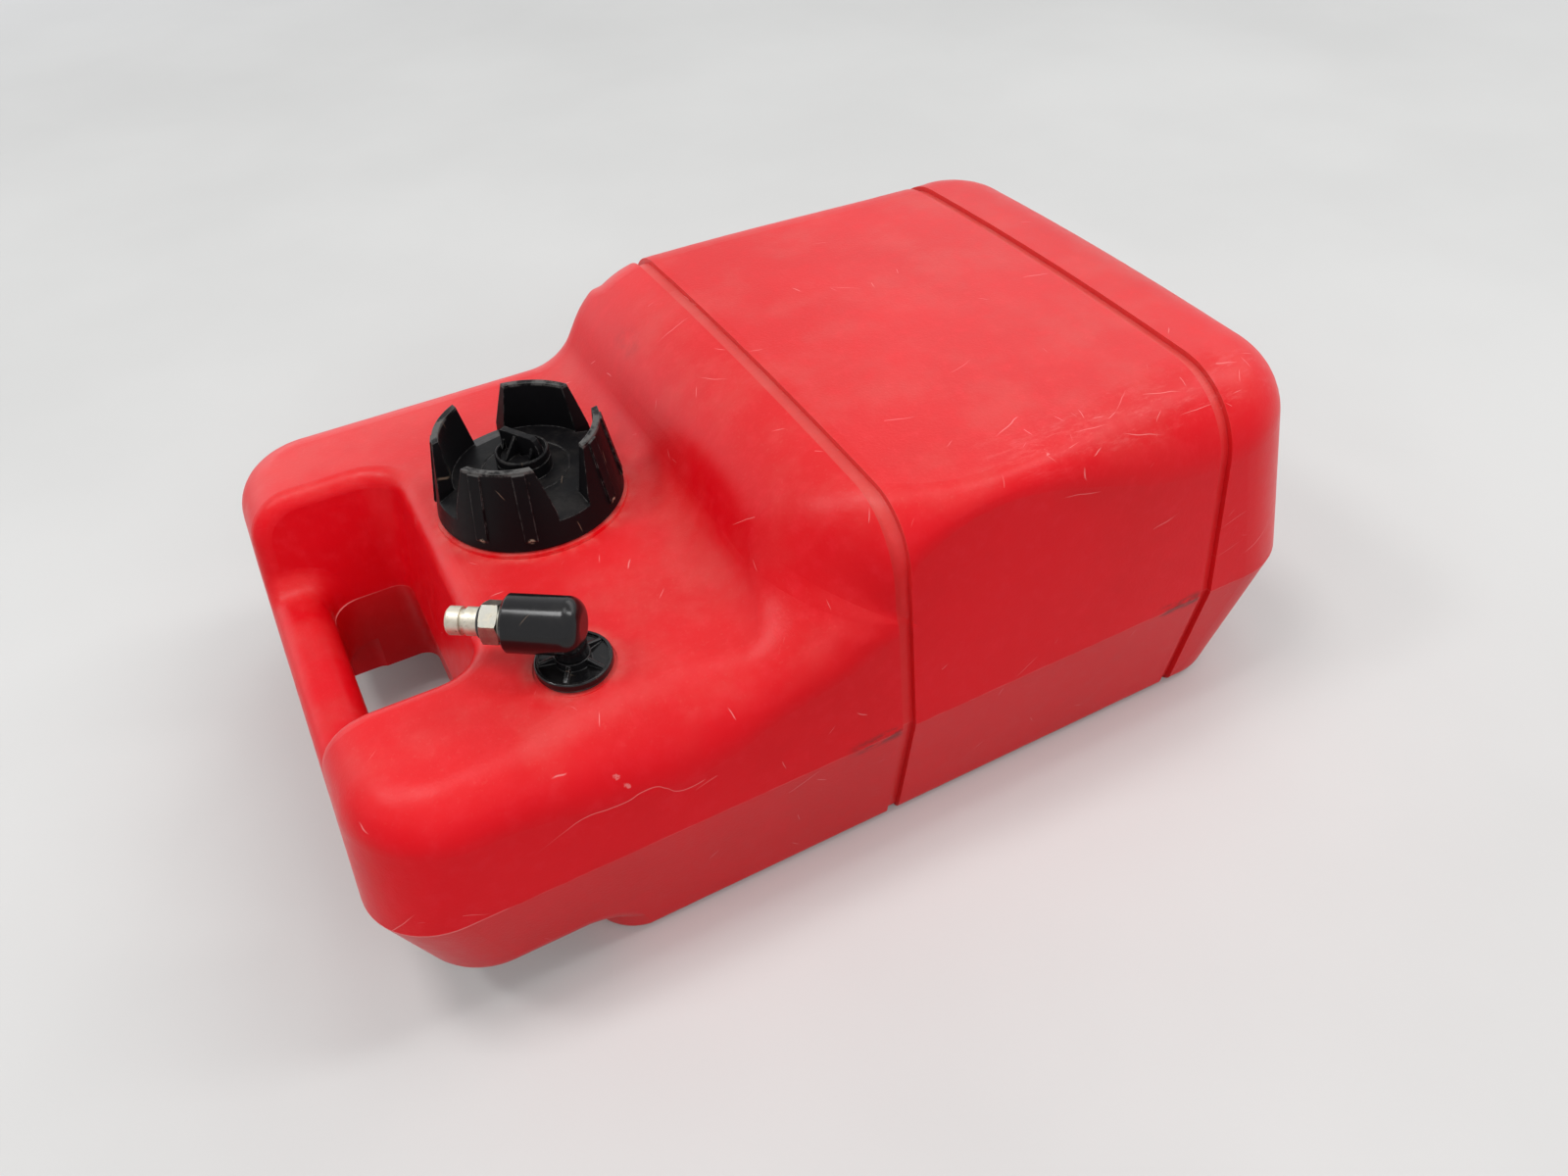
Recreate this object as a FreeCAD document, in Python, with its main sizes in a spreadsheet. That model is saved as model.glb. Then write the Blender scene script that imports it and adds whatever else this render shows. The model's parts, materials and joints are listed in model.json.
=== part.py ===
import FreeCAD, Part
import math
import os
import re
import Sketcher

# Portable outboard fuel tank, in millimetres.
# +Z is up and +X runs from the handle end to the tall end.
# The origin lies on the ground under the middle of the tank's plan.

Vector = FreeCAD.Vector
Rotation = FreeCAD.Rotation
Placement = FreeCAD.Placement

doc = FreeCAD.newDocument("OutboardFuelTank")
sheet = doc.addObject("Spreadsheet::Sheet", "Dims")

drivingDims = {
    # outer form of the tank
    "tankLength": 428,
    "tankWidth": 270,
    "humpHeight": 169,
    "deckHeight": 123.2,
    "chineHeight": 67.3,
    "wallThickness": 3.8,
    "crownRadius": 2200,
    "sideDraft": 5.5,
    "frontDraft": 6,
    "rearDraft": 8,
    "sideTuck": 11,
    "frontTuck": 19,
    "rearTuck": 24,
    "frontCorner": 30,
    "rearCorner": 40,
    "frontCornerLow": 32,
    "rearCornerLow": 30,
    "frontCornerHigh": 50,
    "rearCornerHigh": 44,
    "deckRound": 22,
    "humpRound": 42,
    "rearRound": 36,
    "stepSetback": 164,
    "stepRun": 24,
    "stepFootRadius": 22,
    "stepCrownRadius": 50,
    # foot and raised front underside
    "footSetback": 78,
    "footCorner": 22,
    "footLean": 3,
    "undersideHeight": 21,
    "footRound": 6,
    "undersideRound": 10,
    # two grooves around the body
    "frontGroovePlace": 211.5,
    "rearGroovePlace": 364.7,
    "grooveWidth": 6,
    "grooveDepth": 2.4,
    # hand hole, recess and handle bar
    "barThickness": 23.7,
    "barTop": 81.6,
    "barUnderside": 40,
    "barRound": 10,
    "holeLength": 36.3,
    "holeWidth": 114.8,
    "holeSplay": 2.5,
    "holeFrontCorner": 13.5,
    "holeRearCorner": 8,
    "recessWidth": 142,
    "recessLean": 9.3,
    "recessRearCorner": 14,
    "recessBlend": 12,
    "recessRim": 8,
    # filler neck
    "neckPlaceX": 116,
    "neckPlaceY": 13,
    "neckSeatRadius": 40.4,
    "neckSeatRise": 1.6,
    "neckHeight": 10.8,
    "neckRadius": 30,
    "neckBore": 26.5,
    "threadPitch": 4,
    "threadDepth": 1.7,
    "threadRoot": 2,
    "threadCrest": 1,
    "threadTurns": 0.9,
    "threadGap": 0.5,
    # filler cap
    "capGap": 0.4,
    "capRadius": 39.2,
    "capTaper": 9.2,
    "capHeight": 34.8,
    "capDeck": 14.6,
    "capPlate": 2.4,
    "lugThickness": 2.6,
    "lugRootRadius": 30.2,
    "lugTurn": 57.5,
    "gapFloorWidth": 14.5,
    "gapMouthWidth": 23,
    "gapRampDrop": 4.6,
    "gapRampStart": 27.5,
    "gripRibWidth": 5,
    "gripRibProud": 0.9,
    "gripRibFoot": 4.5,
    "gripRibSpread": 15,
    "gasketThickness": 2.6,
    "plateRingRadius": 18.4,
    "plateRingDepth": 0.35,
    # vent screw in the cap
    "ventCollarRadius": 11.2,
    "ventCollarHeight": 5.4,
    "ventCollarWall": 1.5,
    "ventKnobGap": 0.3,
    "ventKnobRadius": 10.95,
    "ventKnobHeight": 7.6,
    "ventKnobWall": 1,
    "ventKnobFloor": 5,
    "ventWingRise": 6.3,
    "ventWingThickness": 2.8,
    "ventWingOffset": 1.6,
    "ventWingTurn": -59,
    "ventStemRadius": 3.6,
    "ventStemLength": 11,
    "ventStemGap": 0.15,
    "ventSealThickness": 1.5,
    "ventSealRadius": 7.5,
    "ventClipThickness": 1.2,
    "ventClipRadius": 6.5,
    "ventPassage": 1.1,
    # withdrawal fitting on the deck
    "fittingPlaceX": 96.8,
    "fittingFromSide": 46.8,
    "fittingSeatRadius": 15.4,
    "fittingSeatDrop": 2.2,
    "fittingBossRadius": 12.5,
    "fittingBossDepth": 14,
    "flangeRadius": 14.3,
    "flangeThickness": 2.4,
    "flangeRimHeight": 1,
    "flangeRimWidth": 1.3,
    "flangeHubRadius": 6.6,
    "flangeHubHeight": 3.4,
    "flangeRibWidth": 1.4,
    "flangeTurn": -124,
    "flangeSpigotRadius": 8,
    "flangeSpigotLength": 15,
    "spigotGap": 0.1,
    "flangeGasketThickness": 1,
    # swivel elbow
    "elbowTurn": 145.4,
    "stemRadius": 4.5,
    "stemGap": 0.06,
    "stemBore": 2.6,
    "barrelLift": 2.5,
    "barrelRadius": 10.7,
    "barrelBack": 6.4,
    "barrelFront": 21.4,
    "barrelDome": 6,
    "barrelMouthChamfer": 1,
    "barrelSocketDepth": 11,
    "stemOringSection": 1.5,
    "stemOringDepth": 6.5,
    "clipThickness": 1.2,
    "clipRadius": 7,
    "clipGroove": 0.8,
    "clipGap": 0.3,
    "barbRadius": 3.2,
    "barbLength": 7,
    # pickup tube and strainer
    "tubeWall": 1.3,
    "tubeGap": 0.1,
    "tubeFloorGap": 14,
    "strainerRadius": 7,
    "strainerHeight": 9,
    "strainerPlate": 1.6,
    "strainerPostWidth": 2,
    "meshThickness": 0.5,
    "strainerSpigot": 8,
    # hose connector
    "spigotRadius": 6.4,
    "hexFlats": 14.4,
    "hexLength": 6.6,
    "hexChamfer": 1,
    "collarLength": 1.4,
    "collarRadius": 7.1,
    "plugRadius": 5.25,
    "plugLength": 13.4,
    "plugNeckRadius": 4.7,
    "plugOringSection": 1.6,
    "latchGroovePlace": 6.2,
    "latchGrooveWidth": 2,
    "latchGrooveDepth": 0.9,
    "plugChamfer": 0.8,
    "plugBore": 3.9,
    "plugOrifice": 2.6,
    "orificeLength": 2.5,
    # check valve in the connector
    "poppetGap": 0.15,
    "poppetHead": 1.6,
    "poppetSealSection": 0.9,
    "poppetTail": 1.5,
    "springWire": 0.6,
    "springTurns": 4,
    "springLength": 5.6,
    "retainerThickness": 1.2,
    "retainerHole": 0.7,
}


def fillSheet():
    for row, (alias, size) in enumerate(drivingDims.items(), start=1):
        cell = "A%d" % row
        sheet.set(cell, str(size))
        sheet.setAlias(cell, alias)
    doc.recompute()


def bound(expression):
    """The expression with each dimension's name pointing at the sheet."""
    def toCell(match):
        word = match.group()
        return "Dims." + word if word in drivingDims else word
    return re.sub(r"[A-Za-z]\w*", toCell, str(expression))


def size(expression):
    """The value in millimetres or degrees of an expression of dimensions."""
    return float(sheet.evalExpression(str(expression)))


# ---- helpers for bodies, sketches and features ----

def newBody(label):
    body = doc.addObject("PartDesign::Body", label)
    body.Label = label
    return body


def originPlane(body, role):
    return next(item for item in body.Origin.OriginFeatures if item.Role == role)


def pinCorner(sketch, line, horizontal, vertical):
    for kind, expression in (("DistanceX", horizontal), ("DistanceY", vertical)):
        constraint = Sketcher.Constraint(kind, -1, 1, line, 1, size(expression))
        index = sketch.addConstraint(constraint)
        sketch.setExpression("Constraints[%d]" % index, bound(expression))


def outlineSketch(body, name, role, corners):
    """A closed outline of straight lines whose corners are bound to the sheet."""
    sketch = body.newObject("Sketcher::SketchObject", name)
    sketch.AttachmentSupport = [(originPlane(body, role), "")]
    sketch.MapMode = "FlatFace"
    places = [Vector(size(across), size(up), 0) for across, up in corners]
    count = len(places)
    for index in range(count):
        line = Part.LineSegment(places[index], places[(index + 1) % count])
        sketch.addGeometry(line, False)
    for index in range(count):
        joint = Sketcher.Constraint("Coincident", index, 2, (index + 1) % count, 1)
        sketch.addConstraint(joint)
    for index, (across, up) in enumerate(corners):
        pinCorner(sketch, index, across, up)
    return sketch


def ringSketch(body, name, role, across, up, radius):
    """A circle whose centre and radius are bound to the sheet."""
    sketch = body.newObject("Sketcher::SketchObject", name)
    sketch.AttachmentSupport = [(originPlane(body, role), "")]
    sketch.MapMode = "FlatFace"
    centre = Vector(size(across), size(up), 0)
    sketch.addGeometry(Part.Circle(centre, Vector(0, 0, 1), size(radius)), False)
    for kind, expression in (("DistanceX", across), ("DistanceY", up)):
        index = sketch.addConstraint(Sketcher.Constraint(kind, -1, 1, 0, 3, size(expression)))
        sketch.setExpression("Constraints[%d]" % index, bound(expression))
    index = sketch.addConstraint(Sketcher.Constraint("Radius", 0, size(radius)))
    sketch.setExpression("Constraints[%d]" % index, bound(radius))
    return sketch


def turnSketch(sketch, angle):
    """Turn an upright sketch about the body's vertical axis."""
    sketch.AttachmentOffset = Placement(Vector(0, 0, 0), Rotation(Vector(0, 1, 0), angle))


def revolve(body, name, sketch, axis="V_Axis", cutting=False):
    kind = "PartDesign::Groove" if cutting else "PartDesign::Revolution"
    feature = body.newObject(kind, name)
    feature.Profile = sketch
    feature.ReferenceAxis = (sketch, [axis])
    feature.Angle = 360
    return feature


def straddle(body, name, sketch, length, cutting=False):
    """Pad or pocket a sketch by the same amount on both sides of its plane."""
    kind = "PartDesign::Pocket" if cutting else "PartDesign::Pad"
    feature = body.newObject(kind, name)
    feature.Profile = sketch
    feature.SideType = "Symmetric"
    feature.setExpression("Length", bound(length))
    return feature


def aroundAxis(body, name, feature, axisSketch, copies, axis="V_Axis"):
    pattern = body.newObject("PartDesign::PolarPattern", name)
    pattern.Originals = [feature]
    pattern.Axis = (axisSketch, [axis])
    pattern.Angle = 360
    pattern.Occurrences = copies
    body.Tip = pattern
    return pattern


def turned(label, corners, axis="V_Axis"):
    """A body made by turning one outline of the XZ plane about an axis."""
    body = newBody(label)
    sketch = outlineSketch(body, label + "_outline", "XZ_Plane", corners)
    revolve(body, label + "_turning", sketch, axis)
    return body, sketch


def setPlace(item, across, along, up, turn="0"):
    """Bind where a finished piece stands, and its turn about the vertical."""
    item.Placement = Placement(Vector(0, 0, 0), Rotation(Vector(0, 0, 1), 1))
    item.setExpression("Placement.Base.x", bound(across))
    item.setExpression("Placement.Base.y", bound(along))
    item.setExpression("Placement.Base.z", bound(up))
    item.setExpression("Placement.Rotation.Angle", bound(turn))


# ---- places shared by several pieces ----

frontEnd = "(-tankLength / 2)"
rearEnd = "(tankLength / 2)"
halfWidth = "(tankWidth / 2)"
neckX = f"({frontEnd} + neckPlaceX)"
neckY = "neckPlaceY"
neckSeat = "(deckHeight + neckSeatRise)"
neckTop = "(deckHeight + neckHeight)"
capBase = f"({neckSeat} + capGap)"
capBore = "(neckRadius + threadDepth + threadGap)"
# the cap's plate stands on the gasket, which stands on the neck
plateBottom = f"({neckTop} + gasketThickness - {capBase})"
plateTop = f"({plateBottom} + capPlate)"
fittingX = f"({frontEnd} + fittingPlaceX)"
fittingY = f"(fittingFromSide - {halfWidth})"
fittingSeat = "(deckHeight - fittingSeatDrop)"
flangeBase = f"({fittingSeat} + flangeGasketThickness)"
flangeTop = f"({flangeBase} + flangeThickness)"
hubTop = f"({flangeTop} + flangeHubHeight)"
barrelAxis = f"({hubTop} + barrelLift + barrelRadius)"
spigotEnd = f"({flangeBase} - flangeSpigotLength)"
clipTop = f"({spigotEnd} - clipGap)"
stemEnd = f"({clipTop} - clipThickness - 1)"
barbEnd = f"({stemEnd} - barbLength)"
hexStart = "(barrelFront + collarLength)"
plugStart = f"({hexStart} + hexLength)"
plugTip = f"({plugStart} + plugLength)"
seatPlace = f"({plugTip} - orificeLength)"


# ---- the tank shell ----

def roundedRing(level, front, rear, side, frontRadius, rearRadius):
    """A level outline with round corners, as eight edges from the rear left corner."""
    def corner(across, along, radius, start):
        turns = [math.radians(start + step) for step in (0, 45, 90)]
        ends = [Vector(across + radius * math.cos(turn), along + radius * math.sin(turn), level)
                for turn in turns]
        return Part.Arc(*ends).toShape(), ends[0], ends[2]

    corners = [
        corner(rear - rearRadius, side - rearRadius, rearRadius, 0),
        corner(front + frontRadius, side - frontRadius, frontRadius, 90),
        corner(front + frontRadius, frontRadius - side, frontRadius, 180),
        corner(rear - rearRadius, rearRadius - side, rearRadius, 270),
    ]
    edges = []
    for index, (arc, first, last) in enumerate(corners):
        nextFirst = corners[(index + 1) % len(corners)][1]
        edges += [arc, Part.makeLine(last, nextFirst)]
    return Part.Wire(edges)


def between(lowRing, highRing):
    """The straight-walled solid between two level rings."""
    return Part.makeLoft([lowRing, highRing], True, True)


def draftedHull(inset):
    """Lower half that tucks in to the foot, and upper half with drafted walls."""
    front = size(frontEnd) + inset
    rear = size(rearEnd) - inset
    side = size(halfWidth) - inset
    chine = size("chineHeight")
    above = size("humpHeight * 1.2")
    rise = above - chine
    frontIn = rise * math.tan(math.radians(size("frontDraft")))
    rearIn = rise * math.tan(math.radians(size("rearDraft")))
    sideIn = rise * math.tan(math.radians(size("sideDraft")))
    chineRing = roundedRing(chine, front, rear, side,
                            size("frontCorner") - inset, size("rearCorner") - inset)
    highRing = roundedRing(above, front + frontIn, rear - rearIn, side - sideIn,
                           size("frontCornerHigh") - inset, size("rearCornerHigh") - inset)
    lowRing = roundedRing(inset, front + size("frontTuck"), rear - size("rearTuck"),
                          side - size("sideTuck"),
                          size("frontCornerLow") - inset, size("rearCornerLow") - inset)
    return between(lowRing, chineRing).fuse(between(chineRing, highRing)).removeSplitter()


def roundCorner(before, corner, after, radius):
    """Start, middle and end of the arc that rounds one corner of a path."""
    back = (before - corner).normalize()
    onward = (after - corner).normalize()
    angle = back.getAngle(onward)
    reach = radius / math.tan(angle / 2)
    centre = corner + (back + onward).normalize() * (radius / math.sin(angle / 2))
    middle = centre + (corner - centre).normalize() * radius
    return corner + back * reach, middle, corner + onward * reach


def underTopLine(inset):
    """All that lies under the deck, the step and the hump, with the crown across."""
    reach = size("tankLength")
    deck = size("deckHeight") - inset
    hump = size("humpHeight") - inset
    slope = math.atan2(size("humpHeight - deckHeight"), size("stepRun"))
    footX = size(frontEnd) + size("stepSetback") + inset * math.tan(slope / 2)
    crownX = footX + size("stepRun")
    path = [Vector(-reach, 0, deck), Vector(footX, 0, deck),
            Vector(crownX, 0, hump), Vector(reach, 0, hump)]
    hollow = roundCorner(path[0], path[1], path[2], size("stepFootRadius") + inset)
    brow = roundCorner(path[1], path[2], path[3], size("stepCrownRadius") - inset)
    below = -size("tankWidth")
    lowRear = Vector(reach, 0, below)
    lowFront = Vector(-reach, 0, below)
    outline = [
        Part.makeLine(path[0], hollow[0]),
        Part.Arc(*hollow).toShape(),
        Part.makeLine(hollow[2], brow[0]),
        Part.Arc(*brow).toShape(),
        Part.makeLine(brow[2], path[3]),
        Part.makeLine(path[3], lowRear),
        Part.makeLine(lowRear, lowFront),
        Part.makeLine(lowFront, path[0]),
    ]
    section = Part.Face(Part.Wire(outline))
    crownCentre = Vector(0, 0, size("humpHeight - crownRadius"))
    halfSweep = math.degrees(size("tankWidth") / size("crownRadius"))
    section.rotate(crownCentre, Vector(1, 0, 0), -halfSweep)
    return section.revolve(crownCentre, Vector(1, 0, 0), 2 * halfSweep), hollow[0].x, brow[2].x


def roundTopEdges(form, inset, stepStart, stepEnd):
    """Round the top edges: tight along the deck, full at the step, easing to the rear."""
    level = size("chineHeight") + 1
    rearStart = size(rearEnd) - size("rearCornerHigh")
    # a round at the hump can be no larger than the step's own height allows
    tallest = 0.92 * size("humpHeight - deckHeight")
    stages = [(stepStart, size("deckRound")),
              (stepEnd, min(size("humpRound"), tallest)),
              (rearStart, min(size("rearRound"), tallest))]

    def radiusAt(vertex):
        along = min(max(vertex.Point.x, stepStart), rearStart)
        for (start, before), (end, after) in zip(stages, stages[1:]):
            if along <= end:
                share = (along - start) / (end - start)
                return before + (after - before) * share - inset

    def isOuterTopEdge(edge):
        box = edge.BoundBox
        crossesStep = box.XLength < 0.01 and stepStart - 1 < box.XMin < stepEnd + 1
        return box.ZMin > level and not crossesStep

    rough = doc.addObject("Part::Feature", "form_sharp")
    rough.Shape = form
    rounded = doc.addObject("Part::Fillet", "form_round")
    rounded.Base = rough
    rounded.Edges = [(number, radiusAt(edge.Vertexes[0]), radiusAt(edge.Vertexes[-1]))
                     for number, edge in enumerate(form.Edges, start=1) if isOuterTopEdge(edge)]
    doc.recompute()
    return rounded.Shape


def tankForm(inset):
    """The tank's closed outer form, moved inwards by the inset."""
    under, stepStart, stepEnd = underTopLine(inset)
    form = draftedHull(inset).common(under)
    return roundTopEdges(form, inset, stepStart, stepEnd)


def sound(shape):
    """The shape with any slip of tolerance left by a cut put right."""
    if not shape.isValid():
        shape.fix(1e-4, 1e-4, 1e-4)
    return shape


def raisedUnderside(inset):
    """What is taken away below the front end, around the rounded front of the foot."""
    footFront = size(frontEnd) + size("footSetback") + inset
    side = size(halfWidth) - size("sideTuck") - inset
    top = size("undersideHeight") + inset
    lean = size("footLean")
    radius = size("footCorner") - inset
    beyond = size("tankLength")
    foot = between(roundedRing(-1, footFront, beyond, side, radius, radius),
                   roundedRing(top + 5, footFront - lean, beyond, side + 5, radius, radius))
    slab = Part.makeBox(beyond, 2 * beyond, top + 1, Vector(footFront + radius - beyond, -beyond, -1))
    return slab.cut(foot)


def grooveTool(place, width, inset):
    """A slab across the tank, hollowed to leave one groove around its skin."""
    tall = size("humpHeight") * 2
    wide = size("tankWidth") * 2
    start = size(frontEnd) + size(place) - width / 2
    slab = Part.makeBox(width, wide, tall, Vector(start, -wide / 2, -tall / 4))
    return slab.cut(tankForm(inset + size("grooveDepth")))


def recessAbove(level, grow):
    """The recess above the hand hole, open towards the front."""
    chine = size("chineHeight")
    beyond = size("humpHeight")
    rise = (beyond - chine) / (size("deckHeight") - chine)
    rear = size(frontEnd) + size("barThickness + holeLength") + grow
    side = size("holeWidth / 2") + grow
    sideOut = rise * size("(recessWidth - holeWidth) / 2")
    rearOut = rise * size("recessLean")
    front = -size("tankLength")
    lowRing = roundedRing(chine, front, rear, side, size("recessRearCorner"), size("holeRearCorner"))
    highRing = roundedRing(beyond, front, rear + rearOut, side + sideOut,
                           size("recessRearCorner"), size("recessRearCorner * 2"))
    recess = between(lowRing, highRing)
    return recess.cut(handleBar(level)) if level else recess


def handleBar(level):
    """The stock of the handle bar, round along its upper inner edge."""
    inner = size(frontEnd) + size("barThickness")
    deep = size("barTop - barUnderside")
    wide = size("tankWidth")
    bar = Part.makeBox(wide, wide, deep, Vector(inner - wide, -wide / 2, level - deep))
    upper = [edge for edge in bar.Edges
             if edge.BoundBox.XMin > inner - 0.01 and edge.BoundBox.ZMin > level - 0.01]
    return bar.makeFillet(size("barRound"), upper)


def handHole():
    """The hole behind the bar, below the mould's parting line, with splayed walls."""
    splay = size("holeSplay")
    front = size(frontEnd) + size("barThickness")
    rear = front + size("holeLength")
    side = size("holeWidth / 2")
    below = -1
    return between(
        roundedRing(below, front - splay, rear + splay, side + splay,
                    size("holeFrontCorner"), size("holeRearCorner")),
        roundedRing(size("chineHeight"), front, rear, side,
                    size("holeFrontCorner"), size("holeRearCorner")))


def fingerSpace():
    """The space for the fingers under the handle bar."""
    front = -size("tankLength")
    rear = size(frontEnd) + size("barThickness + holeLength / 2")
    side = size("holeWidth / 2 + holeSplay")
    top = size("barUnderside")
    corner = size("holeRearCorner")
    return between(roundedRing(-1, front, rear, side + 1, corner, corner),
                   roundedRing(top, front, rear, side, corner, corner))


def edgesWhere(shape, test):
    return [edge for edge in shape.Edges if test(edge.BoundBox)]


def softenHandle(shape):
    """Round the bar into the recess walls, then the recess rim and the bar's front."""
    inner = size(frontEnd) + size("barThickness")
    chine = size("chineHeight")
    barTop = size("barTop")
    side = size("holeWidth / 2")
    deckSide = size("recessWidth / 2")
    lean = size("recessLean")
    rear = inner + size("holeLength") + lean

    def barMeetsWall(box):
        outer = max(abs(box.YMin), abs(box.YMax))
        return (box.XMax < inner + 0.1 and box.ZMax < barTop + 0.2 and box.ZMin > chine - 0.1
                and side - 0.1 < outer < side + 6 and box.YLength < 4)

    def recessRim(box):
        outer = max(abs(box.YMin), abs(box.YMax))
        return (barTop + 8 < box.ZMax < size("deckHeight") + 0.5 and box.ZMin > barTop - 0.2
                and box.XMax < rear + 2 and outer < deckSide + 3)

    def barFront(box):
        return (abs(box.ZMin - barTop) < 0.2 and abs(box.ZMax - barTop) < 0.2
                and box.YLength > side and box.XMax < inner - size("barRound") - 1)

    blended = shape.makeFillet(size("recessBlend"), edgesWhere(shape, barMeetsWall))
    rims = edgesWhere(blended, recessRim) + edgesWhere(blended, barFront)
    return blended.makeFillet(size("recessRim"), rims)


def softenBottom(shape):
    """Round the edges around the foot and under the raised front end."""
    raised = size("undersideHeight")
    outerSide = size("recessWidth / 2 + recessBlend + recessRim")

    def footEdge(box):
        return box.ZMax < 0.1

    def raisedEdge(box):
        outer = max(abs(box.YMin), abs(box.YMax))
        return abs(box.ZMin - raised) < 0.1 and abs(box.ZMax - raised) < 0.1 and outer > outerSide

    softer = shape.makeFillet(size("footRound"), edgesWhere(shape, footEdge))
    return softer.makeFillet(size("undersideRound"), edgesWhere(softer, raisedEdge))


def handleKeepOut():
    """Room kept clear of the cavity by the hole, the recess and the solid bar."""
    wall = size("wallThickness")
    front = -size("tankLength")
    rear = size(frontEnd) + size("barThickness + holeLength + holeSplay") + wall
    side = size("holeWidth / 2 + holeSplay") + wall
    corner = size("holeRearCorner")
    low = between(roundedRing(-1, front, rear, side, corner, corner),
                  roundedRing(size("chineHeight"), front, rear, side, corner, corner))
    return low.fuse(recessAbove(None, wall * 1.1))


def tankCavity():
    wall = size("wallThickness")
    cavity = tankForm(wall).cut(raisedUnderside(wall)).cut(handleKeepOut())
    for place in ("frontGroovePlace", "rearGroovePlace"):
        cavity = cavity.cut(grooveTool(place, size("grooveWidth") + wall / 2, wall))
    return sound(cavity)


def threadRidge(radius, outward, rise):
    """One helical thread ridge on, or in, an upright cylinder, starting at a height."""
    pitch = size("threadPitch")
    depth = size("threadDepth")
    root = size("threadRoot") / 2
    crest = size("threadCrest") / 2
    side = 1 if outward else -1
    sink = radius - side * 0.4
    tip = radius + side * depth
    helix = Part.makeHelix(pitch, pitch * size("threadTurns"), radius)
    profile = Part.makePolygon([Vector(sink, 0, -root), Vector(tip, 0, -crest),
                                Vector(tip, 0, crest), Vector(sink, 0, root),
                                Vector(sink, 0, -root)])
    ridge = Part.Wire(helix).makePipeShell([profile], True, True)
    ridge.translate(Vector(0, 0, rise))
    return ridge


def cylinderAt(across, along, low, high, radius):
    return Part.makeCylinder(radius, high - low, Vector(across, along, low))


def fillerNeck(skin, cavity):
    """Seat ring, threaded neck and bore, joined to the shell."""
    across, along = size(neckX), size(neckY)
    wall = size("wallThickness")
    inside = size("deckHeight") - 2 * wall
    seat = cylinderAt(across, along, inside, size(neckSeat), size("neckSeatRadius"))
    neck = cylinderAt(across, along, inside, size(neckTop), size("neckRadius"))
    bore = cylinderAt(across, along, inside - wall, size(neckTop) + 1, size("neckBore"))
    ridge = threadRidge(size("neckRadius"), True, size(capBase) + size("threadRoot + threadPitch / 2"))
    ridge.rotate(Vector(0, 0, 0), Vector(0, 0, 1), size("lugTurn") - 45)
    ridge.translate(Vector(across, along, 0))
    inner = seat.cut(cavity)
    return skin.fuse([inner, neck]).fuse(ridge).cut(bore)


def fittingBoss(skin):
    """Flat seat and inner boss for the withdrawal fitting."""
    across, along = size(fittingX), size(fittingY)
    top = size(fittingSeat)
    low = top - size("fittingBossDepth")
    seat = cylinderAt(across, along, top - 2 * size("wallThickness"), top, size("fittingSeatRadius"))
    boss = cylinderAt(across, along, low, top, size("fittingBossRadius"))
    bore = cylinderAt(across, along, low - 1, top + 1, size("flangeSpigotRadius + spigotGap"))
    over = cylinderAt(across, along, top, top + size("wallThickness"), size("fittingSeatRadius"))
    return skin.fuse([seat, boss]).cut(bore).cut(over)


def makeTankShell():
    outer = tankForm(0).cut(raisedUnderside(0))
    outer = outer.cut(recessAbove(size("barTop"), 0)).cut(handHole()).cut(fingerSpace())
    outer = softenBottom(softenHandle(outer))
    for place in ("frontGroovePlace", "rearGroovePlace"):
        outer = outer.cut(grooveTool(place, size("grooveWidth"), 0))
    cavity = tankCavity()
    shell = sound(fittingBoss(fillerNeck(sound(outer.cut(cavity)), cavity)))
    piece = doc.addObject("Part::Feature", "tank_shell")
    piece.Label = "tank_shell"
    piece.Shape = shell
    return piece


# ---- the filler cap ----

def capSide(height):
    """The cap's outer radius at a height above its base."""
    return f"(capRadius - ({height}) * tan(capTaper * 1 deg))"


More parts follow.
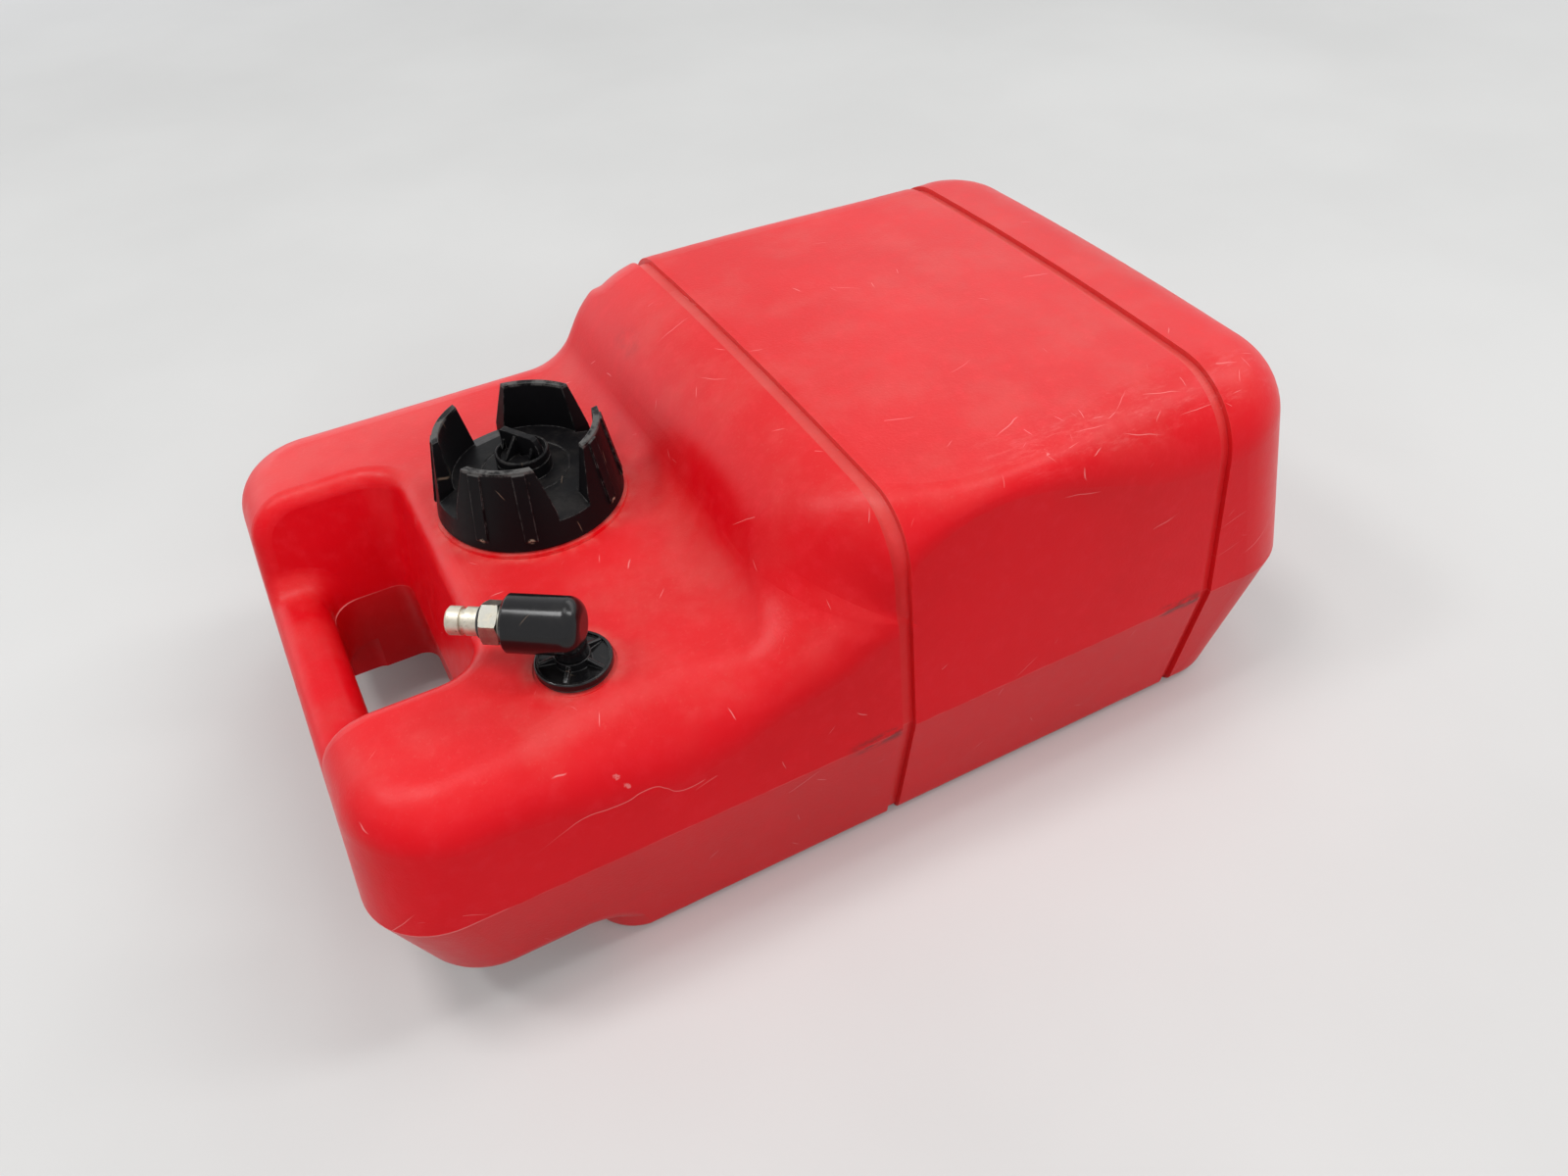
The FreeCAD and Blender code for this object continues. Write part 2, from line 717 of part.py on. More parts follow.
def makeFillerCap():
    body, outline = turned("cap_body", [
        (capBore, "0"),
        ("capRadius - 0.6", "0"),
        (capSide("0.8"), "0.8"),
        (capSide("capHeight"), "capHeight"),
        (capSide("capHeight") + " - lugThickness", "capHeight"),
        ("lugRootRadius", plateTop),
        ("plateRingRadius + plateRingDepth", plateTop),
        ("plateRingRadius", f"{plateTop} - plateRingDepth"),
        ("plateRingRadius - plateRingDepth", plateTop),
        ("ventCollarRadius", plateTop),
        ("ventCollarRadius", f"{plateTop} + ventCollarHeight"),
        ("ventCollarRadius - ventCollarWall", f"{plateTop} + ventCollarHeight"),
        ("ventCollarRadius - ventCollarWall", plateTop),
        ("ventStemRadius + ventStemGap", plateTop),
        ("ventStemRadius + ventStemGap", plateBottom),
        (capBore, plateBottom),
    ])
    # four gaps between the lugs: a ramp that falls outwards under a wide mouth
    ramp = outlineSketch(body, "gap_ramp_outline", "XZ_Plane", [
        ("gapRampStart", plateTop),
        ("capRadius + 2", f"{plateTop} - gapRampDrop"),
        ("capRadius + 2", "capHeight + 1"),
        ("gapRampStart", "capHeight + 1"),
    ])
    rampCut = straddle(body, "gap_ramp", ramp, "gapFloorWidth", cutting=True)
    aroundAxis(body, "gap_ramps", rampCut, outline, 4)
    mouth = outlineSketch(body, "gap_mouth_outline", "YZ_Plane", [
        ("-gapFloorWidth / 2", f"{plateTop} + 1"),
        ("gapFloorWidth / 2", f"{plateTop} + 1"),
        ("gapMouthWidth / 2", "capHeight + 0.5"),
        ("-gapMouthWidth / 2", "capHeight + 0.5"),
    ])
    mouth.setExpression("AttachmentOffset.Base.z", bound("gapRampStart"))
    mouthCut = body.newObject("PartDesign::Pocket", "gap_mouth")
    mouthCut.Profile = mouth
    mouthCut.Reversed = True
    mouthCut.setExpression("Length", bound("capRadius"))
    aroundAxis(body, "gap_mouths", mouthCut, outline, 4)
    # two upright grip ribs on each lug
    for name, side in (("left", 1), ("right", -1)):
        rib = outlineSketch(body, "rib_outline_" + name, "XZ_Plane", [
            (capSide("gripRibFoot") + " - 1", "gripRibFoot"),
            (capSide("gripRibFoot") + " + gripRibProud * 0.5", "gripRibFoot"),
            (capSide("gripRibFoot + 1") + " + gripRibProud", "gripRibFoot + 1"),
            (capSide("capHeight - 1") + " + gripRibProud * 0.6", "capHeight - 1"),
            (capSide("capHeight - 1") + " - 1", "capHeight - 1"),
        ])
        turnSketch(rib, 45 + side * size("gripRibSpread"))
        ribPad = straddle(body, "rib_" + name, rib, "gripRibWidth")
        aroundAxis(body, "ribs_" + name, ribPad, outline, 4)
    thread = doc.addObject("Part::Feature", "cap_thread")
    thread.Shape = threadRidge(size(capBore), False, size("threadRoot"))
    doc.recompute()
    cap = doc.addObject("Part::Fuse", "filler_cap")
    cap.Label = "filler_cap"
    cap.Base = body
    cap.Tool = thread
    setPlace(cap, neckX, neckY, capBase, "lugTurn - 45")
    return cap


def makeCapGasket():
    gasket, outline = turned("cap_gasket", [
        ("neckBore + 0.5", "0"),
        (f"{capBore} - threadGap", "0"),
        (f"{capBore} - threadGap", "gasketThickness"),
        ("neckBore + 0.5", "gasketThickness"),
    ])
    setPlace(gasket, neckX, neckY, neckTop)
    return gasket


# ---- the vent screw ----

ventBase = "ventSealThickness"
ventTop = f"({ventBase} + ventKnobHeight)"
ventStemFoot = f"({ventBase} - ventSealThickness - ventStemLength)"


def makeVentKnob():
    """Cup on a stem, with a wing across it that is square at one end and round at the other."""
    flare = "(ventCollarHeight + ventKnobGap)"
    boss = "(ventCollarRadius - ventCollarWall - ventKnobGap)"
    floor = f"({ventBase} + ventKnobFloor)"
    knob, outline = turned("vent_knob", [
        ("ventPassage", ventStemFoot),
        ("ventStemRadius - 0.8", ventStemFoot),
        ("ventStemRadius - 0.8", f"{ventStemFoot} + ventClipThickness"),
        ("ventStemRadius", f"{ventStemFoot} + ventClipThickness"),
        ("ventStemRadius", ventBase),
        (boss, ventBase),
        (boss, flare),
        ("ventKnobRadius", flare),
        ("ventKnobRadius", f"{ventTop} - 0.4"),
        ("ventKnobRadius - 0.4", ventTop),
        ("ventKnobRadius - ventKnobWall", ventTop),
        ("ventKnobRadius - ventKnobWall * 2.2", floor),
        ("ventPassage", floor),
    ])
    peak = f"({ventTop} + ventWingRise)"
    sunk = f"({floor} - 0.5)"
    wing = outlineSketch(knob, "wing_outline", "XZ_Plane", [
        ("ventKnobWall * 2.2 - ventKnobRadius", sunk),
        ("ventKnobRadius - ventKnobWall * 2.2", sunk),
        ("ventKnobRadius - ventKnobWall * 1.5", f"{ventTop} - 0.6"),
        ("ventKnobRadius * 0.82", f"{ventTop} + ventWingRise * 0.3"),
        ("ventKnobRadius * 0.74", f"{ventTop} + ventWingRise * 0.6"),
        ("ventKnobRadius * 0.65", f"{ventTop} + ventWingRise * 0.87"),
        ("ventKnobRadius * 0.52", peak),
        ("1 - ventKnobRadius", peak),
        ("0.2 - ventKnobRadius", f"{peak} - 0.8"),
        ("0.2 - ventKnobRadius", f"{ventTop} - 0.6"),
    ])
    wing.setExpression("AttachmentOffset.Base.z", bound("-ventWingOffset"))
    straddle(knob, "wing", wing, "ventWingThickness")
    nearFace = "(ventWingOffset - ventWingThickness / 2)"
    webs = [("near", "-0.84", "0.22", "0.3"), ("mid", "-0.23", "0.72", "0.85"), ("far", "0.52", "0.22", "0.3")]
    for name, place, reach, rise in webs:
        foot = f"({nearFace} - ventKnobRadius * {reach})"
        rib = outlineSketch(knob, "web_outline_" + name, "YZ_Plane", [
            (foot, sunk),
            (f"{nearFace} + 0.5", sunk),
            (f"{nearFace} + 0.5", f"{ventTop} + ventWingRise * {rise}"),
            (f"{nearFace} - 0.4", f"{ventTop} + ventWingRise * {rise}"),
            (foot, f"{floor} + 0.8"),
        ])
        rib.setExpression("AttachmentOffset.Base.z", bound(f"ventKnobRadius * {place}"))
        straddle(knob, "web_" + name, rib, "ventWingThickness * 0.35")
    setPlace(knob, neckX, neckY, f"{capBase} + {plateTop}", "ventWingTurn")
    return knob


def makeVentSeal():
    seal, outline = turned("vent_seal", [
        ("ventStemRadius + ventStemGap", "0"),
        ("ventSealRadius", "0"),
        ("ventSealRadius", "ventSealThickness"),
        ("ventStemRadius + ventStemGap", "ventSealThickness"),
    ])
    setPlace(seal, neckX, neckY, f"{capBase} + {plateTop}")
    return seal


def makeVentRetainer():
    """Star washer that keeps the vent screw in the cap."""
    clip, outline = turned("vent_retainer", [
        ("ventStemRadius - 0.8", "0"),
        ("ventClipRadius", "0"),
        ("ventClipRadius", "ventClipThickness"),
        ("ventStemRadius - 0.8", "ventClipThickness"),
    ])
    notch = outlineSketch(clip, "notch_outline", "XY_Plane", [
        ("ventStemRadius - 0.2", "-0.5"),
        ("ventClipRadius - 1", "-0.9"),
        ("ventClipRadius - 1", "0.9"),
        ("ventStemRadius - 0.2", "0.5"),
    ])
    cut = straddle(clip, "notch", notch, "ventClipThickness * 3", cutting=True)
    aroundAxis(clip, "notches", cut, outline, 6)
    setPlace(clip, neckX, neckY, f"{capBase} + {plateTop} + {ventStemFoot}")
    return clip


# ---- the withdrawal fitting ----

def makeFlangeGasket():
    gasket, outline = turned("flange_gasket", [
        ("flangeSpigotRadius + 0.2", "0"),
        ("flangeRadius - 0.8", "0"),
        ("flangeRadius - 0.8", "flangeGasketThickness"),
        ("flangeSpigotRadius + 0.2", "flangeGasketThickness"),
    ])
    setPlace(gasket, fittingX, fittingY, fittingSeat)
    return gasket


oringSpace = "(stemOringSection * 0.9)"
oringHigh = f"({flangeTop} - stemOringDepth)"


def makePickupFlange():
    """Ribbed flange with a spigot that passes through the deck."""
    bore = "(stemRadius + stemGap)"
    flange, outline = turned("pickup_flange", [
        (bore, spigotEnd),
        ("flangeSpigotRadius - 0.6", spigotEnd),
        ("flangeSpigotRadius", f"{spigotEnd} + 0.8"),
        ("flangeSpigotRadius", flangeBase),
        ("flangeRadius - 0.5", flangeBase),
        ("flangeRadius", f"{flangeBase} + 0.5"),
        ("flangeRadius", f"{flangeTop} + flangeRimHeight - 0.4"),
        ("flangeRadius - 0.4", f"{flangeTop} + flangeRimHeight"),
        ("flangeRadius - flangeRimWidth", f"{flangeTop} + flangeRimHeight"),
        ("flangeRadius - flangeRimWidth", flangeTop),
        ("flangeHubRadius", flangeTop),
        ("flangeHubRadius", hubTop),
        (bore, hubTop),
        (bore, oringHigh),
        (f"{bore} + {oringSpace}", oringHigh),
        (f"{bore} + {oringSpace}", f"{oringHigh} - stemOringSection * 1.1"),
        (bore, f"{oringHigh} - stemOringSection * 1.1"),
    ])
    rib = outlineSketch(flange, "flange_rib_outline", "XZ_Plane", [
        ("flangeHubRadius - 0.5", f"{flangeTop} - 0.5"),
        ("flangeRadius - flangeRimWidth / 2", f"{flangeTop} - 0.5"),
        ("flangeRadius - flangeRimWidth / 2", f"{flangeTop} + 0.5"),
        ("flangeHubRadius - 0.5", f"{flangeTop} + flangeHubHeight - 0.4"),
    ])
    pad = straddle(flange, "flange_rib", rib, "flangeRibWidth")
    aroundAxis(flange, "flange_ribs", pad, outline, 5)
    setPlace(flange, fittingX, fittingY, "0", "flangeTurn")
    return flange


def makeStemOring():
    ring = doc.addObject("Part::Torus", "stem_o_ring")
    ring.Label = "stem_o_ring"
    ring.setExpression("Radius2", bound("stemOringSection * 0.42"))
    ring.setExpression("Radius1", bound("stemRadius + stemGap / 2 + stemOringSection * 0.42"))
    setPlace(ring, fittingX, fittingY, f"{oringHigh} - stemOringSection * 0.55")
    return ring


# ---- the swivel elbow ----

def barrelSketch(body, name, corners):
    """An outline beside the barrel's level axis, which the sketch carries as a line."""
    sketch = outlineSketch(body, name, "XZ_Plane", corners)
    level = size(barrelAxis)
    ends = [Vector(size("-barrelFront"), level, 0), Vector(size("barrelFront"), level, 0)]
    line = sketch.addGeometry(Part.LineSegment(*ends), True)
    sketch.addConstraint(Sketcher.Constraint("Horizontal", line))
    pinCorner(sketch, line, "-barrelFront", barrelAxis)
    return sketch


def roundBarrelBack(body, barrel):
    """Dome the barrel's closed end by rounding its outer edge."""
    doc.recompute()
    back = size("-barrelBack")
    names = ["Edge%d" % number for number, edge in enumerate(barrel.Shape.Edges, start=1)
             if edge.BoundBox.XMin > back - 0.01 and edge.BoundBox.XMax < back + 0.01
             and edge.BoundBox.ZLength > size("barrelRadius")]
    dome = body.newObject("PartDesign::Fillet", "barrel_dome")
    dome.Base = (barrel, names)
    dome.setExpression("Radius", bound("barrelDome"))
    body.Tip = dome


def makeSwivelElbow():
    """Horizontal barrel with a domed back, stem, and the barb for the tube."""
    elbow = newBody("swivel_elbow")
    barrel = revolve(elbow, "barrel_turning", barrelSketch(elbow, "barrel_outline", [
        ("-barrelBack", barrelAxis),
        ("-barrelBack", f"{barrelAxis} + barrelRadius"),
        ("barrelFront - barrelMouthChamfer", f"{barrelAxis} + barrelRadius"),
        ("barrelFront", f"{barrelAxis} + barrelRadius - barrelMouthChamfer"),
        ("barrelFront", barrelAxis),
    ]), "Axis0")
    roundBarrelBack(elbow, barrel)
    stem = outlineSketch(elbow, "stem_outline", "XZ_Plane", [
        ("0", barbEnd),
        ("barbRadius - 0.5", barbEnd),
        ("barbRadius", f"{barbEnd} + 1.5"),
        ("barbRadius", stemEnd),
        ("stemRadius - 0.4", stemEnd),
        ("stemRadius", f"{stemEnd} + 0.4"),
        ("stemRadius", f"{clipTop} - clipThickness"),
        ("stemRadius - clipGroove", f"{clipTop} - clipThickness"),
        ("stemRadius - clipGroove", clipTop),
        ("stemRadius", clipTop),
        ("stemRadius", f"{hubTop} + 0.3"),
        ("stemRadius + 1.5", f"{hubTop} + 0.3"),
        ("stemRadius + 1.5", barrelAxis),
        ("0", barrelAxis),
    ])
    revolve(elbow, "stem_turning", stem)
    revolve(elbow, "socket_turning", barrelSketch(elbow, "socket_outline", [
        ("0", barrelAxis),
        ("0", f"{barrelAxis} + stemBore"),
        ("barrelFront - barrelSocketDepth", f"{barrelAxis} + stemBore"),
        ("barrelFront - barrelSocketDepth", f"{barrelAxis} + spigotRadius + 0.05"),
        ("barrelFront + 1", f"{barrelAxis} + spigotRadius + 0.05"),
        ("barrelFront + 1", barrelAxis),
    ]), "Axis0", cutting=True)
    drop = ringSketch(elbow, "stem_bore_outline", "XY_Plane", "0", "0", "stemBore")
    bore = elbow.newObject("PartDesign::Pocket", "stem_bore")
    bore.Profile = drop
    bore.SideType = "Symmetric"
    bore.setExpression("Length", bound(f"{barrelAxis} * 2"))
    setPlace(elbow, fittingX, fittingY, "0", "elbowTurn")
    return elbow


def makeElbowRetainer():
    """Spring clip in the stem's groove, under the spigot."""
    clip, outline = turned("elbow_retainer", [
        ("stemRadius - clipGroove", f"{clipTop} - clipThickness"),
        ("clipRadius", f"{clipTop} - clipThickness"),
        ("clipRadius", clipTop),
        ("stemRadius - clipGroove", clipTop),
    ])
    mouth = outlineSketch(clip, "clip_mouth_outline", "XY_Plane", [
        ("0", "-stemRadius * 0.5"),
        ("clipRadius + 1", "-stemRadius * 0.7"),
        ("clipRadius + 1", "stemRadius * 0.7"),
        ("0", "stemRadius * 0.5"),
    ])
    opening = clip.newObject("PartDesign::Pocket", "clip_mouth")
    opening.Profile = mouth
    opening.SideType = "Symmetric"
    opening.setExpression("Length", bound(f"{barrelAxis} * 2"))
    setPlace(clip, fittingX, fittingY, "0", "elbowTurn")
    return clip


# ---- the pickup tube and strainer ----

tubeBore = "(barbRadius + tubeGap)"
tubeOuter = "(barbRadius + tubeGap + tubeWall)"
tubeTop = f"({stemEnd} - 0.3)"
tubeFoot = "(wallThickness + tubeFloorGap)"
strainerTop = f"({tubeFoot} - 0.3)"
strainerFoot = f"({strainerTop} - strainerHeight)"


def makePickupTube():
    tube, outline = turned("pickup_tube", [
        (tubeBore, tubeFoot),
        (tubeOuter, tubeFoot),
        (tubeOuter, tubeTop),
        (tubeBore, tubeTop),
    ])
    setPlace(tube, fittingX, fittingY, "0")
    return tube


def makeStrainerCage():
    """Plastic cage with a spigot in the tube, four posts and a closed foot."""
    postRadius = "(strainerRadius - meshThickness - 1.3)"
    cage, outline = turned("strainer_cage", [
        ("barbRadius - 1.2", f"{strainerTop} - strainerPlate"),
        ("strainerRadius", f"{strainerTop} - strainerPlate"),
        ("strainerRadius", strainerTop),
        ("barbRadius", strainerTop),
        ("barbRadius", f"{strainerTop} + strainerSpigot"),
        ("barbRadius - 1.2", f"{strainerTop} + strainerSpigot"),
    ])
    foot = outlineSketch(cage, "cage_foot_outline", "XZ_Plane", [
        ("0", strainerFoot),
        ("strainerRadius", strainerFoot),
        ("strainerRadius", f"{strainerFoot} + strainerPlate"),
        ("0", f"{strainerFoot} + strainerPlate"),
    ])
    post = outlineSketch(cage, "cage_post_outline", "XZ_Plane", [
        (f"{postRadius} - 1.2", f"{strainerFoot} + strainerPlate / 2"),
        (postRadius, f"{strainerFoot} + strainerPlate / 2"),
        (postRadius, f"{strainerTop} - strainerPlate / 2"),
        (f"{postRadius} - 1.2", f"{strainerTop} - strainerPlate / 2"),
    ])
    pad = straddle(cage, "cage_post", post, "strainerPostWidth")
    aroundAxis(cage, "cage_posts", pad, outline, 4)
    revolve(cage, "cage_foot", foot)
    setPlace(cage, fittingX, fittingY, "0")
    return cage


def makeStrainerMesh():
    mesh, outline = turned("strainer_mesh", [
        ("strainerRadius - meshThickness - 0.6", f"{strainerFoot} + strainerPlate"),
        ("strainerRadius - 0.6", f"{strainerFoot} + strainerPlate"),
        ("strainerRadius - 0.6", f"{strainerTop} - strainerPlate"),
        ("strainerRadius - meshThickness - 0.6", f"{strainerTop} - strainerPlate"),
    ])
    setPlace(mesh, fittingX, fittingY, "0")
    return mesh


# ---- the hose connector and its check valve, along the barrel's axis ----

connectorBack = "(barrelFront - barrelSocketDepth + 0.3)"


def makeHoseConnector():
    grooveEnd = f"({plugStart} + plugOringSection)"
    latchLow = f"({plugStart} + latchGroovePlace)"
    latchHigh = f"({plugStart} + latchGroovePlace + latchGrooveWidth)"
    connector, outline = turned("hose_connector", [
        ("plugBore", connectorBack),
        ("spigotRadius - 0.6", connectorBack),
        ("spigotRadius", f"{connectorBack} + 0.8"),
        ("spigotRadius", "barrelFront"),
        ("collarRadius", "barrelFront"),
        ("collarRadius", hexStart),
        ("hexFlats / 2 - 0.2", hexStart),
        ("hexFlats / 2 - 0.2", plugStart),
        ("plugNeckRadius", plugStart),
        ("plugNeckRadius", grooveEnd),
        ("plugRadius", grooveEnd),
        ("plugRadius", latchLow),
        ("plugRadius - latchGrooveDepth", latchLow),
        ("plugRadius - latchGrooveDepth", latchHigh),
        ("plugRadius", latchHigh),
        ("plugRadius", f"{plugTip} - plugChamfer"),
        ("plugRadius - plugChamfer", plugTip),
        ("plugOrifice", plugTip),
        ("plugOrifice", seatPlace),
        ("plugBore", f"{seatPlace} - plugBore + plugOrifice"),
    ])
    hexagon = [(f"hexFlats / 3 * sqrt(3) * cos({turn} * 1 deg)",
                f"hexFlats / 3 * sqrt(3) * sin({turn} * 1 deg)") for turn in range(0, 360, 60)]
    hexOutline = outlineSketch(connector, "hexagon", "XY_Plane", hexagon)
    hexOutline.setExpression("AttachmentOffset.Base.z", bound(hexStart))
    hexPad = connector.newObject("PartDesign::Pad", "hexagon_pad")
    hexPad.Profile = hexOutline
    hexPad.setExpression("Length", bound("hexLength"))
    bore = ringSketch(connector, "bore_outline", "XY_Plane", "0", "0", "plugBore")
    bore.setExpression("AttachmentOffset.Base.z", bound(f"{hexStart} - 0.5"))
    boreCut = connector.newObject("PartDesign::Pocket", "bore_cut")
    boreCut.Profile = bore
    boreCut.Reversed = True
    boreCut.setExpression("Length", bound("hexLength + 1"))
    cornerReach = "(hexFlats / 3 * sqrt(3) + 0.5)"
    for name, edge, inward in (("low", hexStart, 1), ("high", plugStart, -1)):
        chamfer = outlineSketch(connector, "hex_chamfer_" + name, "XZ_Plane", [
            (f"{cornerReach} - hexChamfer - 0.5", edge),
            (cornerReach, edge),
            (cornerReach, f"{edge} + {inward} * hexChamfer * 0.7"),
        ])
        revolve(connector, "hex_chamfer_turning_" + name, chamfer, cutting=True)
    layAlongBarrel(connector)
    return connector


def layAlongBarrel(item, along="0"):
    """Lay a piece made upright along the barrel, pointing out of its mouth."""
    tip = Rotation(Vector(0, 1, 0), 90)
    turn = Rotation(Vector(0, 0, 1), size("elbowTurn"))
    item.Placement = Placement(Vector(0, 0, 0), turn.multiply(tip))
    heading = "elbowTurn * 1 deg"
    item.setExpression("Placement.Base.x", bound(f"{fittingX} + ({along}) * cos({heading})"))
    item.setExpression("Placement.Base.y", bound(f"{fittingY} + ({along}) * sin({heading})"))
    item.setExpression("Placement.Base.z", bound(barrelAxis))


def makeConnectorOring():
    ring = doc.addObject("Part::Torus", "connector_o_ring")
    ring.Label = "connector_o_ring"
    section = "(plugOringSection / 2 - 0.05)"
    ring.setExpression("Radius2", bound(section))
    ring.setExpression("Radius1", bound(f"plugNeckRadius + 0.05 + {section}"))
    layAlongBarrel(ring, f"{plugStart} + plugOringSection / 2")
    return ring


poppetShoulder = f"({seatPlace} - plugBore + plugOrifice - 0.1)"
poppetBack = f"({poppetShoulder} - poppetHead)"
sealBack = f"({poppetBack} - poppetSealSection)"
retainerFront = f"({sealBack} - springLength)"
retainerBack = f"({retainerFront} - retainerThickness)"


def makeValvePoppet():
    nose = "(plugOrifice - poppetGap)"
    head = "(plugBore - poppetGap)"
    poppet, outline = turned("valve_poppet", [
        ("0", f"{retainerBack} - 1"),
        ("poppetTail", f"{retainerBack} - 1"),
        ("poppetTail", poppetBack),
        (head, poppetBack),
        (head, poppetShoulder),
        (nose, f"{poppetShoulder} + {head} - {nose}"),
        (nose, f"{plugTip} - 0.4"),
        (f"{nose} - 0.4", plugTip),
        ("0", plugTip),
    ])
    layAlongBarrel(poppet)
    return poppet


def makePoppetSeal():
    seal, outline = turned("poppet_seal", [
        ("poppetTail + 0.05", sealBack),
        ("plugBore - poppetGap", sealBack),
        ("plugBore - poppetGap", poppetBack),
        ("poppetTail + 0.05", poppetBack),
    ])
    layAlongBarrel(seal)
    return seal


def makeValveSpring():
    """Wire wound on the poppet's tail, between the seal and the retainer."""
    wire = size("springWire") / 2
    length = size("springLength") - 2 * wire - 0.1
    coil = (size("poppetTail") + size("plugBore")) / 2
    quarters = int(size("springTurns") * 4)
    rise = length / quarters
    path = []
    for index in range(quarters):
        piece = Part.makeHelix(rise * 4, rise, coil)
        piece.rotate(Vector(0, 0, 0), Vector(0, 0, 1), 90 * index)
        piece.translate(Vector(0, 0, rise * index))
        path += piece.Edges
    corners = [math.radians(turn) for turn in range(0, 361, 45)]
    section = Part.makePolygon([Vector(coil + wire * math.cos(turn), 0, wire * math.sin(turn))
                                for turn in corners])
    spring = doc.addObject("Part::Feature", "valve_spring")
    spring.Label = "valve_spring"
    spring.Shape = Part.Wire(path).makePipeShell([section], True, True)
    layAlongBarrel(spring, f"{retainerFront} + springWire / 2 + 0.05")
    return spring


def makeSpringRetainer():
    """Perforated disc that holds the spring and guides the poppet's tail."""
    disc, outline = turned("spring_retainer", [
        ("poppetTail + 0.1", retainerBack),
        ("plugBore - 0.02", retainerBack),
        ("plugBore - 0.02", retainerFront),
        ("poppetTail + 0.1", retainerFront),
    ])
    hole = ringSketch(disc, "flow_hole_outline", "XY_Plane", "(poppetTail + plugBore) / 2 + 0.05",
                      "0", "retainerHole")
    hole.setExpression("AttachmentOffset.Base.z", bound(f"{retainerBack} + retainerThickness / 2"))
    cut = straddle(disc, "flow_hole", hole, "retainerThickness * 2", cutting=True)
    aroundAxis(disc, "flow_holes", cut, outline, 6)
    layAlongBarrel(disc)
    return disc


# ---- build, check and write ----

def checkDocument(pieces):
    for item in doc.Objects:
        if "Invalid" in item.State or "Error" in item.State:
            raise RuntimeError("%s did not build: %s" % (item.Label, item.State))
    for piece in pieces:
        if piece.Shape.isNull() or not piece.Shape.isValid():
            raise RuntimeError("%s has no sound shape" % piece.Label)


def writePieces(pieces):
    os.makedirs("parts", exist_ok=True)
    for piece in pieces:
        piece.Shape.exportStep(os.path.join("parts", piece.Label + ".step"))
        box = piece.Shape.BoundBox
        print("%-18s %d solid %9.2f cm3  z %.1f to %.1f" % (
            piece.Label, len(piece.Shape.Solids), piece.Shape.Volume / 1000, box.ZMin, box.ZMax))


fillSheet()
pieces = [
    makeTankShell(),
    makeFillerCap(),
    makeCapGasket(),
    makeVentKnob(),
    makeVentSeal(),
    makeVentRetainer(),
    makeFlangeGasket(),
    makePickupFlange(),
    makeStemOring(),
    makeSwivelElbow(),
    makeElbowRetainer(),
    makePickupTube(),
    makeStrainerCage(),
    makeStrainerMesh(),
    makeHoseConnector(),
    makeConnectorOring(),
    makeValvePoppet(),
    makePoppetSeal(),
    makeValveSpring(),
    makeSpringRetainer(),
]
doc.recompute()
checkDocument(pieces)
writePieces(pieces)
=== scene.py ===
import json
import math

import bpy
from mathutils import Matrix, Vector


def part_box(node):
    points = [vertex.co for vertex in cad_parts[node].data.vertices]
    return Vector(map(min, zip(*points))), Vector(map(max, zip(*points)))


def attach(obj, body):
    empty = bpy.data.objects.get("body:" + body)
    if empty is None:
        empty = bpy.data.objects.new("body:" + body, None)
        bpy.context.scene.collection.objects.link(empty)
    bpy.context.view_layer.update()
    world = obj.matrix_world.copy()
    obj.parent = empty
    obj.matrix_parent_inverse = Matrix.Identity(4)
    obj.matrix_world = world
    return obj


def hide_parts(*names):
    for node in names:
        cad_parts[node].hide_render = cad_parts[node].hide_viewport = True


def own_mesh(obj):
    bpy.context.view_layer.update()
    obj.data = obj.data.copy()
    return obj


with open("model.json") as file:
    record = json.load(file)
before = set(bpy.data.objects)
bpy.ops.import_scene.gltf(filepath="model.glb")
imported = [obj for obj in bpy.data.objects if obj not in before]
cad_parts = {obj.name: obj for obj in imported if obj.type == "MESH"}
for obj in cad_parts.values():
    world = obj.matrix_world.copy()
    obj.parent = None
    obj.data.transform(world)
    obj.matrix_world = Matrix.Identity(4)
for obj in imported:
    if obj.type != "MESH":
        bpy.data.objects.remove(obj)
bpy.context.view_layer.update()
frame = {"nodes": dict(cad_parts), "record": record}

print("frame loaded:", len(frame["nodes"]), "nodes")

mm = 0.001


def middleOf(low, high):
    return Vector([(a + b) / 2 for a, b in zip(low, high)])


capLow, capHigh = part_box("filler_cap")
capMiddle = middleOf(capLow, capHigh)
flangeLow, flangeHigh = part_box("pickup_flange")
flangeMiddle = middleOf(flangeLow, flangeHigh)


# small tools for building node trees

def addNode(tree, kind, inputs=None, **settings):
    made = tree.nodes.new("ShaderNode" + kind)
    for name, value in settings.items():
        setattr(made, name, value)
    for key, value in (inputs or {}).items():
        if isinstance(value, bpy.types.NodeSocket):
            tree.links.new(value, made.inputs[key])
        else:
            made.inputs[key].default_value = value
    return made


def doMath(tree, operation, first, *others):  # three or more values are taken one after another
    for other in others or (0.0,):
        first = addNode(tree, "Math", {0: first, 1: other}, operation=operation).outputs[0]
    return first


def vectorMath(tree, operation, first, second=(0, 0, 0), output="Vector"):
    return addNode(tree, "VectorMath", {0: first, 1: second}, operation=operation).outputs[output]


falling = (1.0, 0.0)


def spread(tree, value, start, stop, result=(0.0, 1.0), smooth=True):
    kind = "SMOOTHSTEP" if smooth else "LINEAR"
    settings = {"Value": value, "From Min": start, "From Max": stop,
                "To Min": result[0], "To Max": result[1]}
    return addNode(tree, "MapRange", settings, interpolation_type=kind).outputs[0]


def mixColour(tree, amount, first, second):
    return addNode(tree, "Mix", {0: amount, 6: first, 7: second}, data_type="RGBA").outputs[2]


